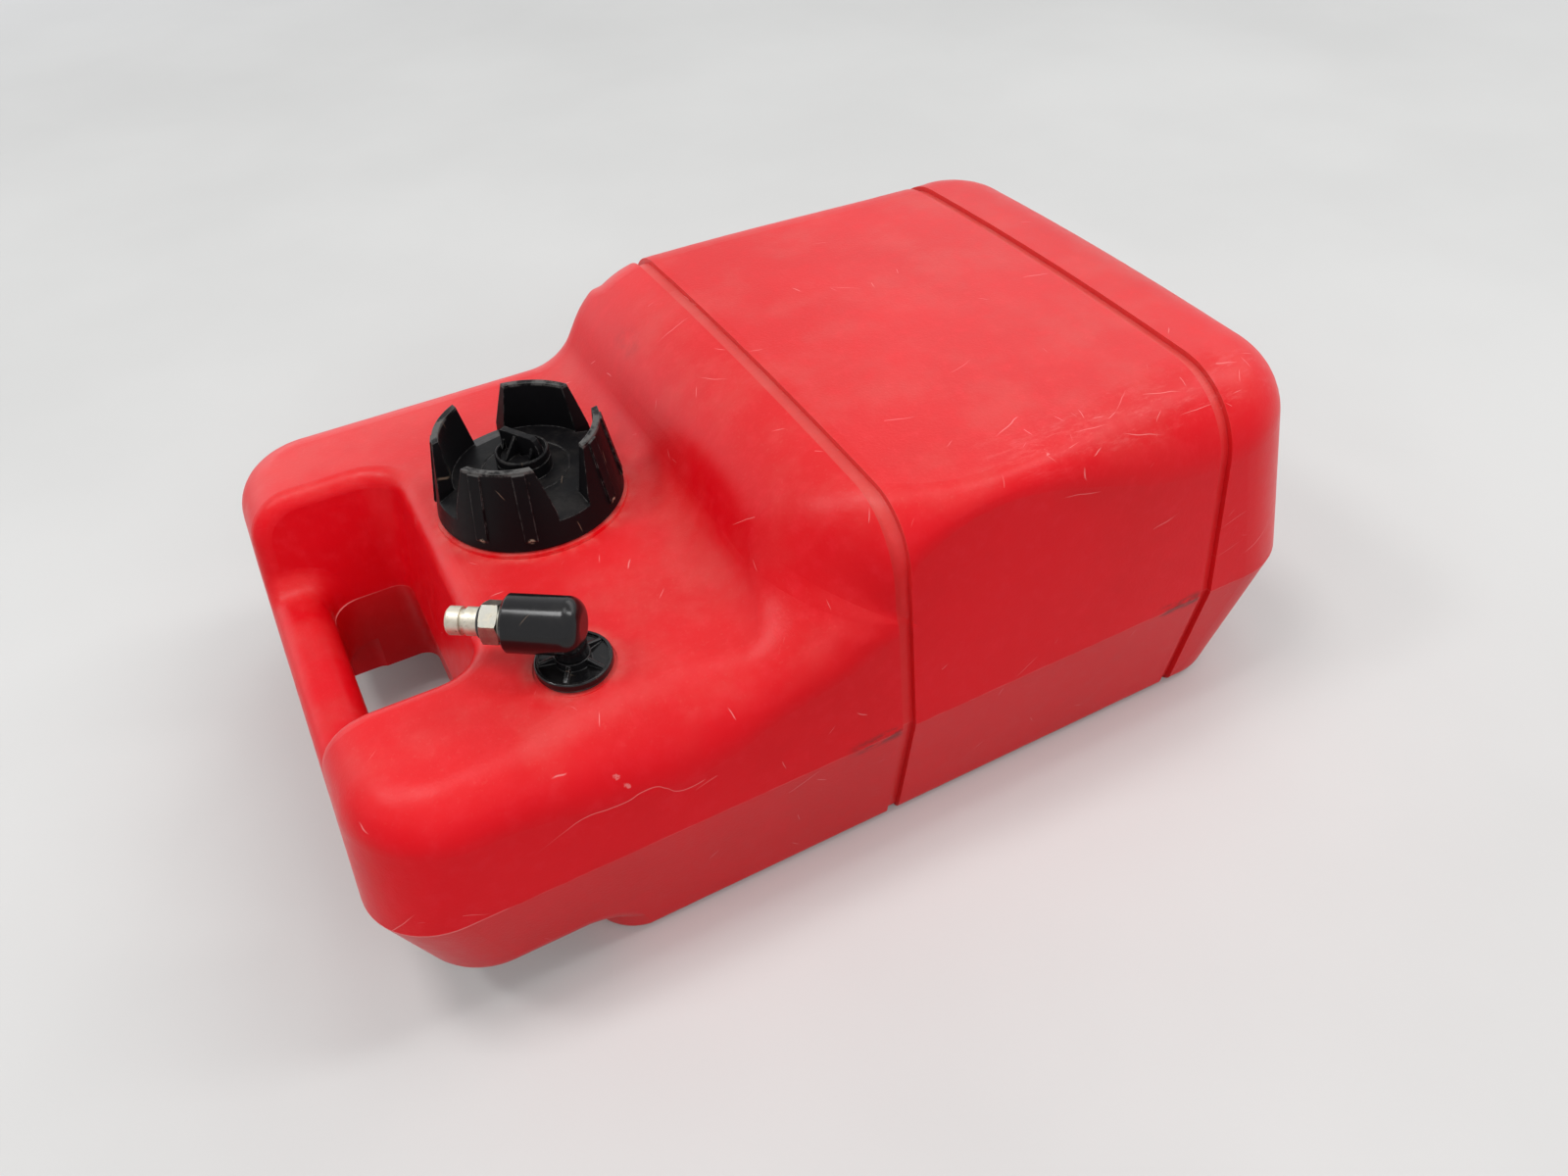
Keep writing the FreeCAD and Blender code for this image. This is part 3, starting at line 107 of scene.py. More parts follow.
# In the dictionaries a noise is its size in bumps to the metre, its detail and its roughness.
# Its edges are the two values between which its patches fade in.
noiseReach = (0.3, 0.7)  # nearly all of a noise lies between these


def noise(tree, place, size, detail=3.0, roughness=0.5, output=0):
    settings = {"Vector": place, "Scale": size, "Detail": detail, "Roughness": roughness}
    return addNode(tree, "TexNoise", settings).outputs[output]


def shaken(tree, place, size, detail, amount):  # the place, pushed about by a noise
    settings = {0: noise(tree, place, size, detail, output="Color"), 1: (amount, amount, amount), 2: place}
    return addNode(tree, "VectorMath", settings, operation="MULTIPLY_ADD").outputs[0]


def stretched(tree, place, stretch):
    return vectorMath(tree, "MULTIPLY", place, stretch)


def farFrom(tree, place, point):
    return vectorMath(tree, "DISTANCE", place, point, "Value")


def offFrom(tree, value, line):
    return doMath(tree, "ABSOLUTE", doMath(tree, "SUBTRACT", value, line))


def heightOf(tree, place):
    return addNode(tree, "SeparateXYZ", {0: place}).outputs["Z"]


def upFacing(tree):
    return heightOf(tree, addNode(tree, "NewGeometry").outputs["Normal"])


def bump(tree, height, distance, strength=1.0, normal=None):
    settings = {"Height": height, "Distance": distance, "Strength": strength}
    if normal is not None:
        settings["Normal"] = normal
    return addNode(tree, "Bump", settings).outputs[0]


number = "NodeSocketFloat"
vector = "NodeSocketVector"


def newGroup(name, inputs, outputs):
    group = bpy.data.node_groups.new(name, "ShaderNodeTree")
    for label, kind, default in inputs:
        made = group.interface.new_socket(label, in_out="INPUT", socket_type=kind)
        if default is not None:
            made.default_value = default
    for label, kind in outputs:
        group.interface.new_socket(label, in_out="OUTPUT", socket_type=kind)
    start = group.nodes.new("NodeGroupInput").outputs
    end = group.nodes.new("NodeGroupOutput").inputs
    return group, start, end


def useGroup(tree, group, inputs):
    return addNode(tree, "Group", inputs, node_tree=group).outputs


# effects that several materials share

strokeShape = {
    "wobbles": (70.0, 2.0),
    "wobble": 2.2 * mm,
    "fadeStart": 0.3,  # of half its length, from where a stroke thins out
}
grainShape = {
    "grain": {"detail": 2.0, "roughness": 0.6},
    "waves": {"detail": 1.0, "roughness": 0.4},
}
edgeShape = {
    "samples": 6,
    "alike": (0.97, 0.8),  # how alike the rounded and the flat normal are where an edge starts, and on it
}
dustShape = {
    "facing": (0.2, 0.95),  # from steep to level
    "patches": {"detail": 5.0, "roughness": 0.6},
    "patchEdges": (0.42, 0.7),
    "specks": (700.0, 2.0),
    "speckEdges": (0.6, 0.72),
    "speckShare": 0.5,
}


def makeStrokeGroup():  # short scratches, one in some of the cells
    look = strokeShape
    group, start, end = newGroup(
        "shortStrokes",
        [("Vector", vector, None), ("Cells", number, 40.0), ("Length", number, 6 * mm),
         ("Width", number, 0.3 * mm), ("Share", number, 0.3), ("Lean", vector, (1, 1, 1))],
        [("Mask", number)])
    bent = shaken(group, start["Vector"], *look["wobbles"], look["wobble"])
    cells = addNode(group, "TexVoronoi", {"Vector": bent, "Scale": start["Cells"]}).outputs
    away = vectorMath(group, "SUBTRACT", bent, cells["Position"])
    centred = vectorMath(group, "SUBTRACT", cells["Color"], (0.5, 0.5, 0.5))
    aim = vectorMath(group, "NORMALIZE", vectorMath(group, "MULTIPLY", centred, start["Lean"]))
    off = doMath(group, "ABSOLUTE", vectorMath(group, "DOT_PRODUCT", away, aim, "Value"))
    line = spread(group, off, 0.0, start["Width"], falling)
    reach = vectorMath(group, "LENGTH", away, output="Value")
    half = doMath(group, "MULTIPLY", start["Length"], 0.5)
    within = spread(group, reach, doMath(group, "MULTIPLY", half, look["fadeStart"]), half, falling)
    chance = addNode(group, "TexWhiteNoise", {"Vector": cells["Color"]}).outputs["Value"]
    some = doMath(group, "LESS_THAN", chance, start["Share"])
    group.links.new(doMath(group, "MULTIPLY", line, within, some), end["Mask"])
    return group


def makeGrainGroup():  # height of a fine moulded grain, and of the slow waves under it
    look = grainShape
    group, start, end = newGroup(
        "mouldedGrain",
        [("Vector", vector, None), ("Grain Size", number, 900.0), ("Wave Size", number, 20.0)],
        [("Height", number), ("Waves", number)])
    group.links.new(noise(group, start["Vector"], start["Grain Size"], **look["grain"]), end["Height"])
    group.links.new(noise(group, start["Vector"], start["Wave Size"], **look["waves"]), end["Waves"])
    return group


def makeEdgeGroup():  # rounded edges, and where those edges are
    look = edgeShape
    group, start, end = newGroup(
        "softEdges", [("Radius", number, 0.5 * mm)], [("Normal", vector), ("Edge", number)])
    rounded = addNode(group, "Bevel", {"Radius": start["Radius"]}, samples=look["samples"]).outputs[0]
    flat = addNode(group, "NewGeometry").outputs["Normal"]
    alike = vectorMath(group, "DOT_PRODUCT", rounded, flat, "Value")
    group.links.new(rounded, end["Normal"])
    group.links.new(spread(group, alike, *look["alike"], smooth=False), end["Edge"])
    return group


def makeDustGroup():  # pale dust that settles on what faces up, in clouds and specks
    look = dustShape
    group, start, end = newGroup(
        "settledDust",
        [("Vector", vector, None), ("Patch Size", number, 25.0), ("Amount", number, 0.3)],
        [("Mask", number)])
    facing = spread(group, upFacing(group), *look["facing"])
    patches = noise(group, start["Vector"], start["Patch Size"], **look["patches"])
    specks = spread(group, noise(group, start["Vector"], *look["specks"]), *look["speckEdges"])
    cloud = doMath(group, "ADD", spread(group, patches, *look["patchEdges"]),
                   doMath(group, "MULTIPLY", specks, look["speckShare"]))
    group.links.new(doMath(group, "MULTIPLY", facing, cloud, start["Amount"]), end["Mask"])
    return group


shortStrokes = makeStrokeGroup()
mouldedGrain = makeGrainGroup()
softEdges = makeEdgeGroup()
settledDust = makeDustGroup()
print("shared effects made")


def newMaterial(name):
    material = bpy.data.materials.new(name)
    material.use_nodes = True
    tree = material.node_tree
    place = addNode(tree, "TexCoord").outputs["Object"]
    return material, tree, tree.nodes["Principled BSDF"], place


def feed(tree, shader, colour, roughness, normal):
    tree.links.new(colour, shader.inputs["Base Color"])
    tree.links.new(roughness, shader.inputs["Roughness"])
    tree.links.new(normal, shader.inputs["Normal"])


def setOn(shader, values):  # what is the same all over the surface
    for name, value in values.items():
        shader.inputs[name].default_value = value


# the red tank

tankLook = {
    "red": (0.72, 0.003, 0.010, 1),
    "deepRed": (0.64, 0.002, 0.007, 1),
    "clouds": (9.0, 4.0, 0.55),
    "cloudEdges": (0.35, 0.65),
    "paleRed": (0.76, 0.025, 0.038, 1),
    "paleShare": (0.0, 0.3),
    "mottle": (160.0, 3.0, 0.6),
    "mottleEdges": (0.45, 0.8),
    "mottleReach": (0.3, 0.75),
    "roughness": (0.30, 0.40),
    "grain": {"Grain Size": 850.0, "Wave Size": 16.0},
    "grainHeight": 0.07 * mm,
    "waveHeight": 0.9 * mm,
    "waveStrength": 0.8,
    "plastic": {"Specular IOR Level": 0.19, "Subsurface Weight": 0.2,
                "Subsurface Radius": (1.0, 0.08, 0.06), "Subsurface Scale": 3 * mm},
    "chine": 67.3 * mm,
    "grooves": (-2.5 * mm, 150.7 * mm),
}

# pale dust, with a painted sheen on the tops and painted light in the grooves
tankDustAndSheen = {
    "colour": (0.66, 0.34, 0.28, 1),
    "roughens": 0.3,
    "settled": {"Patch Size": 30.0, "Amount": 0.07},
    "hazeAndSheen": 0.045,  # dust haze on the tops, partly a painted sheen
    "hazeFacing": (0.5, 0.97),
    "hazeHeights": (88 * mm, 98 * mm),
    "lowFilm": (0.012, 0.0),  # below the chine, and on it
    "lowFade": 3 * mm,
    "grooveDustAndLight": (0.045, 0.15),  # on the sides, and on top: pale dust in the grooves, partly painted light on their shaded walls
    "grooveHeights": (140 * mm, 162 * mm),
    "grooveReach": (2.9 * mm, 3.3 * mm),
    "halo": 0.30,  # a ring round the cap, and one round the fitting
    "haloHeights": (119 * mm, 123 * mm),
    "capHalo": (38 * mm, 47 * mm),
    "flangeHalo": (15 * mm, 22 * mm),
    "breaks": (90.0, 5.0, 0.6),
    "breakEdges": (0.35, 0.7),
}


def haloMask(tree, place, middle, halo):
    away = farFrom(tree, stretched(tree, place, (1, 1, 0)), (middle[0], middle[1], 0))
    level = spread(tree, heightOf(tree, place), *tankDustAndSheen["haloHeights"])
    return doMath(tree, "MULTIPLY", spread(tree, away, *halo, falling), level)


def dustAndSheenOnTank(tree, place, x, z, broken):
    look = tankDustAndSheen
    chine = tankLook["chine"]
    settled = useGroup(tree, settledDust, {"Vector": place, **look["settled"]})["Mask"]
    film = spread(tree, z, chine - look["lowFade"], chine, look["lowFilm"])
    # paler on what faces up, high on the tank: dust haze and a painted sheen
    hazeAndSheen = doMath(tree, "MULTIPLY", spread(tree, upFacing(tree), *look["hazeFacing"]),
                  spread(tree, z, *look["hazeHeights"]), look["hazeAndSheen"])
    halos = doMath(tree, "MAXIMUM", haloMask(tree, place, capMiddle, look["capHalo"]),
                   haloMask(tree, place, flangeMiddle, look["flangeHalo"]))
    halos = doMath(tree, "MULTIPLY", halos, broken, look["halo"])
    dusty = doMath(tree, "ADD", settled, film, hazeAndSheen, halos)
    # pale dust in and beside each groove, partly painted light that lifts the grooves' shaded walls
    for groove in tankLook["grooves"]:
        inside = spread(tree, offFrom(tree, x, groove), *look["grooveReach"], falling)
        amount = spread(tree, z, *look["grooveHeights"], look["grooveDustAndLight"])
        dusty = doMath(tree, "ADD", dusty, doMath(tree, "MULTIPLY", inside, amount))
    return dusty


wavyScratch = {  # one long shallow scratch on the near side
    "strength": 0.8,
    "start": -157 * mm,
    "end": -89 * mm,
    "heights": (80 * mm, 100 * mm),
    "width": 0.3 * mm,
    "nearSide": -100 * mm,
    "path": ((0.0, 0.30), (0.11, 0.44), (0.20, 0.56), (0.34, 0.69), (0.45, 0.65), (0.56, 0.64),
             (0.64, 0.70), (0.71, 0.69), (0.77, 0.56), (0.85, 0.34), (0.91, 0.32), (1.0, 0.37)),
    "fadeIn": (0.0, 0.4),  # shares of its length
    "fadeOut": (0.97, 1.0),
}


def scratchMask(tree, x, y, z):
    look = wavyScratch
    along = spread(tree, x, look["start"], look["end"], smooth=False)
    path = addNode(tree, "FloatCurve", {"Value": along})
    curve = path.mapping.curves[0]
    curve.points[0].location = look["path"][0]
    curve.points[1].location = look["path"][-1]
    for spot in look["path"][1:-1]:
        curve.points.new(*spot)
    path.mapping.update()
    wanted = spread(tree, path.outputs[0], 0.0, 1.0, look["heights"], smooth=False)
    line = spread(tree, offFrom(tree, z, wanted), 0.0, look["width"], falling)
    near = doMath(tree, "LESS_THAN", y, look["nearSide"])
    return doMath(tree, "MULTIPLY", line, near, spread(tree, along, *look["fadeIn"]),
                  spread(tree, along, *look["fadeOut"], falling), look["strength"])


tankWear = {
    "scuff": (0.88, 0.42, 0.41, 1),
    "scuffShare": 0.55,
    "depth": 0.05 * mm,
    "shoulder": (0, -112 * mm, 163 * mm),  # the near one at the back, where most scratches are
    "shoulderReach": (3.8 * mm, 19 * mm),
    "shoulderStart": (20 * mm, 60 * mm),
    "long": {"Cells": 60.0, "Length": 22 * mm, "Width": 0.22 * mm, "Lean": (0.35, 1, 1)},
    "longShare": (0.05, 1.0),  # of the cells, elsewhere and on the shoulder
    "longStrength": 0.8,
    "small": {"Cells": 120.0, "Length": 7 * mm, "Width": 0.2 * mm, "Lean": (1, 1, 1)},
    "smallShare": (0.07, 0.8),
    "smallStrength": 0.9,
    "streaks": (210.0, 6.0, 0.75),
    "streakStretch": (0.3, 1, 1),
    "streakEdges": (0.48, 0.7),
    "streakStrength": 0.2,
    "chips": ((-120.5 * mm, -129.3 * mm, 104.2 * mm), (-118.0 * mm, -131.2 * mm, 99.2 * mm),
              (65.5 * mm, -118.0 * mm, 165.0 * mm)),
    "chipReach": (0.5 * mm, 1.3 * mm),
    "chipStrength": 0.65,
    "tears": (500.0, 3.0),
    "tear": 6 * mm,
}


def wearMask(tree, place, x, y, z):  # pale scratches, rubs and chips
    look = tankWear
    fromShoulder = farFrom(tree, stretched(tree, place, (0, 1, 1)), look["shoulder"])
    close = doMath(tree, "MULTIPLY", spread(tree, fromShoulder, *look["shoulderReach"], falling),
                   spread(tree, x, *look["shoulderStart"]))
    marks = scratchMask(tree, x, y, z)
    for kind in ("long", "small"):
        share = spread(tree, close, 0.0, 1.0, look[kind + "Share"], smooth=False)
        strokes = useGroup(tree, shortStrokes, {"Vector": place, "Share": share, **look[kind]})["Mask"]
        marks = doMath(tree, "MAXIMUM", marks, doMath(tree, "MULTIPLY", strokes, look[kind + "Strength"]))
    streaks = noise(tree, stretched(tree, place, look["streakStretch"]), *look["streaks"])
    rubbed = doMath(tree, "MULTIPLY", close, spread(tree, streaks, *look["streakEdges"]),
                    look["streakStrength"])
    marks = doMath(tree, "MAXIMUM", marks, rubbed)
    torn = shaken(tree, place, *look["tears"], look["tear"])
    for spot in look["chips"]:
        middle = tuple(part + look["tear"] / 2 for part in spot)
        chip = spread(tree, farFrom(tree, torn, middle), *look["chipReach"], falling)
        marks = doMath(tree, "MAXIMUM", marks, doMath(tree, "MULTIPLY", chip, look["chipStrength"]))
    return marks


partingLine = {
    "share": 0.5,
    "width": 0.45 * mm,
    "front": (-190 * mm, -150 * mm),
    "strength": (1.0, 0.25),  # at the front, and behind it
    "whole": (0.5, 1.0),  # as the strength grows, the line has fewer breaks
    "breaks": (60.0, 4.0),
    "breakEdges": (0.42, 0.6),
}


def partingMask(tree, place, x, offChine):  # broken line round the tank, clearest at its front corners
    look = partingLine
    line = spread(tree, offChine, 0.0, look["width"], falling)
    unbroken = spread(tree, noise(tree, place, *look["breaks"]), *look["breakEdges"])
    front = spread(tree, x, *look["front"], look["strength"])
    unbroken = doMath(tree, "MAXIMUM", unbroken, spread(tree, front, *look["whole"]))
    return doMath(tree, "MULTIPLY", line, unbroken, front)


tankGrime = {
    "colour": (0.07, 0.022, 0.02, 1),
    "share": 0.7,
    "rubStart": (-30 * mm, -20 * mm),  # on the chine in front of a groove, from the groove's middle
    "rubEnd": (-6 * mm, -1.5 * mm),
    "rubHeight": (1.0 * mm, 5.0 * mm),
    "streaks": (170.0, 5.0, 0.7),
    "streakStretch": (0.3, 1, 1),
    "streakEdges": (0.40, 0.55),
    "smudge": (-31 * mm, 36 * mm, 153 * mm),  # on the step, in stretched space
    "smudgeStretch": (1, 0.6, 1),
    "smudgeReach": (2 * mm, 9 * mm),
    "smudgeShare": 0.5,
}


def grimeMask(tree, place, x, offChine, broken):
    look = tankGrime
    fromSmudge = farFrom(tree, stretched(tree, place, look["smudgeStretch"]), look["smudge"])
    dirty = doMath(tree, "MULTIPLY", spread(tree, fromSmudge, *look["smudgeReach"], falling), broken,
                   look["smudgeShare"])
    streaks = noise(tree, stretched(tree, place, look["streakStretch"]), *look["streaks"])
    onChine = doMath(tree, "MULTIPLY", spread(tree, offChine, *look["rubHeight"], falling),
                     spread(tree, streaks, *look["streakEdges"]))
    for groove in tankLook["grooves"]:
        start, stop = [[groove + off for off in look[key]] for key in ("rubStart", "rubEnd")]
        rub = doMath(tree, "MULTIPLY", spread(tree, x, *start), spread(tree, x, *stop, falling), onChine)
        dirty = doMath(tree, "MAXIMUM", dirty, rub)
    return dirty


def makeTankMaterial():
    look = tankLook
    material, tree, shader, place = newMaterial("redTankPlastic")
    x, y, z = addNode(tree, "SeparateXYZ", {0: place}).outputs
    offChine = offFrom(tree, z, look["chine"])
    broken = spread(tree, noise(tree, place, *tankDustAndSheen["breaks"]), *tankDustAndSheen["breakEdges"])
    clouds = spread(tree, noise(tree, place, *look["clouds"]), *look["cloudEdges"])
    mottle = noise(tree, place, *look["mottle"])
    # dust, with a painted sheen on the tops and painted light in the grooves
    dusty = dustAndSheenOnTank(tree, place, x, z, broken)
    marks = wearMask(tree, place, x, y, z)
    seam = partingMask(tree, place, x, offChine)
    dirty = grimeMask(tree, place, x, offChine, broken)
    colour = mixColour(tree, clouds, look["deepRed"], look["red"])
    for amount, layer in (
            (spread(tree, mottle, *look["mottleEdges"], look["paleShare"]), look["paleRed"]),
            (dusty, tankDustAndSheen["colour"]),
            (doMath(tree, "MULTIPLY", marks, tankWear["scuffShare"]), tankWear["scuff"]),
            (doMath(tree, "MULTIPLY", seam, partingLine["share"]), tankWear["scuff"]),
            (doMath(tree, "MULTIPLY", dirty, tankGrime["share"]), tankGrime["colour"])):
        colour = mixColour(tree, amount, colour, layer)
    roughness = spread(tree, mottle, *look["mottleReach"], look["roughness"], smooth=False)
    roughness = doMath(tree, "ADD", roughness, doMath(tree, "MULTIPLY", dusty, tankDustAndSheen["roughens"]))
    grain = useGroup(tree, mouldedGrain, {"Vector": place, **look["grain"]})
    slow = bump(tree, grain["Waves"], look["waveHeight"], look["waveStrength"])
    fine = bump(tree, grain["Height"], look["grainHeight"], normal=slow)
    feed(tree, shader, colour, roughness, bump(tree, marks, -tankWear["depth"], normal=fine))
    setOn(shader, look["plastic"])
    return material


# the black cap, vent screw and fitting

blackLook = {
    "black": (0.0045, 0.0042, 0.0048, 1),
    "grey": (0.13, 0.125, 0.12, 1),
    "brown": (0.24, 0.17, 0.12, 1),
    "chip": (0.42, 0.37, 0.27, 1),
    "dust": (0.30, 0.26, 0.23, 1),
    "dustPatches": 90.0,
    "dustRoughens": 0.5,
    "edgeRadius": 0.7 * mm,
    "grain": {"Grain Size": 1600.0, "Wave Size": 60.0},
    "grainHeight": 0.008 * mm,
    "waveHeight": 0.15 * mm,
    "waveStrength": 0.6,
    "patches": (240.0, 5.0, 0.65),
    "patchEdges": (0.45, 0.62),
    "rubs": (130.0, 5.0, 0.7),
    "rubEdges": (0.42, 0.58),
    "rubStrength": 0.8,
    "rubFade": 0.5 * mm,  # above the lugs' tops
    "strokes": {"Cells": 150.0, "Length": 7 * mm, "Width": 0.25 * mm, "Lean": (1, 1, 0.25)},
    "strokeStrength": 0.7,
    "chipReach": (0.7 * mm, 1.8 * mm),
    "chipStrength": 0.7,
    "tears": (620.0, 3.0, 0.7),
    "tearEdges": (0.46, 0.56),
}

gripRibs = {  # two on each of the cap's lugs
    "lugs": 4,
    "lugTurn": math.radians(57.5),
    "ribTurn": math.radians(15),
    "radius": 39.3 * mm,
    "footRise": 5 * mm,
}


def ribFeet():  # where the cap's grip ribs end
    look = gripRibs
    feet = []
    for lug in range(look["lugs"]):
        for side in (-1, 1):
            turn = look["lugTurn"] + math.tau * lug / look["lugs"] + side * look["ribTurn"]
            feet.append((capMiddle[0] + look["radius"] * math.cos(turn),
                         capMiddle[1] + look["radius"] * math.sin(turn), capLow[2] + look["footRise"]))
    return feet


capFinish = {
    "roughness": (0.34, 0.48), "shine": 0.10, "dust": 0.04, "wear": 0.85, "strokeShare": 0.16,
    "wornTop": 1.6 * mm,  # down from the lugs' tops
    "chips": ribFeet(),
}
fittingFinish = {
    "roughness": (0.15, 0.20), "shine": 0.34, "dust": 0.02, "wear": 0.45, "strokeShare": 0.14,
    "wornTop": 0,
    "chips": (),
}


def wornTopMask(tree, place, edge, drop):
    look = blackLook
    high = heightOf(tree, place)
    top = capHigh[2]
    crest = doMath(tree, "MULTIPLY", spread(tree, high, top - drop, top - drop / 2),
                   spread(tree, high, top, top + look["rubFade"], falling))
    rubbed = spread(tree, noise(tree, place, *look["rubs"]), *look["rubEdges"])
    worn = doMath(tree, "MAXIMUM", edge, doMath(tree, "MULTIPLY", rubbed, look["rubStrength"]))
    return doMath(tree, "MULTIPLY", crest, worn)


def makeBlackPlastic(name, finish):
    look = blackLook
    material, tree, shader, place = newMaterial(name)
    edges = useGroup(tree, softEdges, {"Radius": look["edgeRadius"]})
    patches = noise(tree, place, *look["patches"])
    wear = doMath(tree, "MULTIPLY", edges["Edge"], spread(tree, patches, *look["patchEdges"]))
    if finish["wornTop"]:
        wear = doMath(tree, "MAXIMUM", wear, wornTopMask(tree, place, edges["Edge"], finish["wornTop"]))
    strokes = useGroup(tree, shortStrokes,
                       {"Vector": place, "Share": finish["strokeShare"], **look["strokes"]})["Mask"]
    dusty = useGroup(tree, settledDust, {"Vector": place, "Patch Size": look["dustPatches"],
                                         "Amount": finish["dust"]})["Mask"]
    layers = [(doMath(tree, "MULTIPLY", wear, finish["wear"]), look["grey"]),
              (doMath(tree, "MULTIPLY", strokes, finish["wear"] * look["strokeStrength"]), look["brown"])]
    tears = spread(tree, noise(tree, place, *look["tears"]), *look["tearEdges"])
    for spot in finish["chips"]:
        chip = spread(tree, farFrom(tree, place, spot), *look["chipReach"], falling)
        layers.append((doMath(tree, "MULTIPLY", chip, tears, look["chipStrength"]), look["chip"]))
    layers.append((dusty, look["dust"]))
    colour = look["black"]
    for amount, layer in layers:
        colour = mixColour(tree, amount, colour, layer)
    roughness = spread(tree, patches, *noiseReach, finish["roughness"], smooth=False)
    roughness = doMath(tree, "ADD", roughness, doMath(tree, "MULTIPLY", dusty, look["dustRoughens"]))
    grain = useGroup(tree, mouldedGrain, {"Vector": place, **look["grain"]})
    slow = bump(tree, grain["Waves"], look["waveHeight"], look["waveStrength"], edges["Normal"])
    feed(tree, shader, colour, roughness, bump(tree, grain["Height"], look["grainHeight"], normal=slow))
    setOn(shader, {"Specular IOR Level": finish["shine"]})
    return material


# the plated connector

connectorTurn = math.radians(145.4)
heading = Vector((math.cos(connectorTurn), math.sin(connectorTurn), 0.0))  # the way that it points

metalLook = {
    "hexagon": (0.275, 0.27, 0.24, 1),
    "plug": (0.62, 0.575, 0.48, 1),
    "plugStart": (29.0 * mm, 29.5 * mm),  # from the swivel's axis
    "plugRoughens": 0.1,
    "warm": (0.43, 0.375, 0.28, 1),
    "warmShare": (0.0, 0.5),
    "blotches": (320.0, 4.0, 0.6),
    "blotchEdges": (0.42, 0.7),
    "grime": (0.10, 0.085, 0.07, 1),
    "grimeShare": (0.0, 0.7),
    "spots": (900.0, 4.0, 0.7),
    "spotEdges": (0.6, 0.72),
    "roughness": (0.34, 0.48),
    "edgeRadius": 0.25 * mm,
    "lines": {"Scale": 2600.0, "Detail": 2.0},
    "lineHeight": 0.01 * mm,
    "lineStrength": 0.7,
}


def makePlatedMetal():
    look = metalLook
    material, tree, shader, place = newMaterial("platedMetal")
    edges = useGroup(tree, softEdges, {"Radius": look["edgeRadius"]})
    fromFitting = vectorMath(tree, "SUBTRACT", place, (flangeMiddle[0], flangeMiddle[1], 0))
    along = vectorMath(tree, "DOT_PRODUCT", fromFitting, heading, "Value")
    onPlug = spread(tree, along, *look["plugStart"])
    lines = addNode(tree, "TexNoise", {"W": along, **look["lines"]}, noise_dimensions="1D").outputs[0]
    blotches = noise(tree, place, *look["blotches"])
    warm = spread(tree, blotches, *look["blotchEdges"], look["warmShare"])
    grimy = spread(tree, noise(tree, place, *look["spots"]), *look["spotEdges"], look["grimeShare"])
    colour = mixColour(tree, onPlug, look["hexagon"], look["plug"])
    colour = mixColour(tree, warm, colour, look["warm"])
    colour = mixColour(tree, grimy, colour, look["grime"])
    roughness = spread(tree, blotches, *noiseReach, look["roughness"], smooth=False)
    roughness = doMath(tree, "ADD", roughness, doMath(tree, "MULTIPLY", onPlug, look["plugRoughens"]))
    turned = bump(tree, lines, look["lineHeight"], look["lineStrength"], edges["Normal"])
    feed(tree, shader, colour, roughness, turned)
    setOn(shader, {"Metallic": 1.0})
    return material


# the small inner pieces

springLook = {
    "bright": (0.50, 0.50, 0.49, 1),
    "dark": (0.30, 0.30, 0.294, 1),
    "patches": (300.0, 3.0),
    "patchEdges": (0.35, 0.7),
    "lines": (4000.0, 3.0),
    "lineStretch": (1, 1, 0.05),
    "lineHeight": 0.01 * mm,
    "roughness": (0.25, 0.45),
}
meshLook = {
    "bright": (0.42, 0.42, 0.41, 1),
    # dark is painted shade in the gaps between the wires
    "dark": (0.07, 0.07, 0.07, 1),
    "wires": 6000.0,
    "wireEdges": (0.1, 0.8),
    "wireHeight": 0.1 * mm,
    "roughness": (0.7, 0.35),
}
rubberLook = {
    "base": (0.012, 0.012, 0.012, 1),
    "stain": (0.05, 0.048, 0.045, 1),
    "stains": (200.0, 4.0, 0.6),
    "stainEdges": (0.4, 0.7),
    "grit": (3000.0, 2.0),
    "gritHeight": 0.02 * mm,
    "roughness": (0.5, 0.75),
}
naturalLook = {
    "base": (0.58, 0.55, 0.47, 1),
    "stain": (0.50, 0.42, 0.28, 1),
    "stains": (60.0, 4.0, 0.6),
    "stainEdges": (0.4, 0.7),
    "grit": (1500.0, 2.0),
    "gritHeight": 0.02 * mm,
    "roughness": (0.35, 0.5),
}
softBump = 0.8


def makePlainSteel():
    look = springLook
    material, tree, shader, place = newMaterial("springSteel")
    lines = noise(tree, stretched(tree, place, look["lineStretch"]), *look["lines"])
    patches = spread(tree, noise(tree, place, *look["patches"]), *look["patchEdges"])
    colour = mixColour(tree, patches, look["dark"], look["bright"])
    roughness = spread(tree, lines, *noiseReach, look["roughness"], smooth=False)
    feed(tree, shader, colour, roughness, bump(tree, lines, look["lineHeight"], softBump))
    setOn(shader, {"Metallic": 1.0})
    return material


def makeMesh():  # woven wire, as crossing ridges, with painted shade in the gaps between the wires
    look = meshLook
    material, tree, shader, place = newMaterial("wovenMesh")
    x, y, z = addNode(tree, "SeparateXYZ", {0: place}).outputs
    weft, warp = [doMath(tree, "SINE", doMath(tree, "MULTIPLY", along, look["wires"]))
                  for along in (doMath(tree, "ADD", x, y), z)]
    wires = doMath(tree, "MAXIMUM", weft, warp)
    # bright on the wires, painted shade in the gaps
    mask = spread(tree, wires, *look["wireEdges"])
    colour = mixColour(tree, mask, look["dark"], look["bright"])
    roughness = spread(tree, mask, 0.0, 1.0, look["roughness"], smooth=False)
    feed(tree, shader, colour, roughness, bump(tree, wires, look["wireHeight"]))
    setOn(shader, {"Metallic": 1.0})
    return material


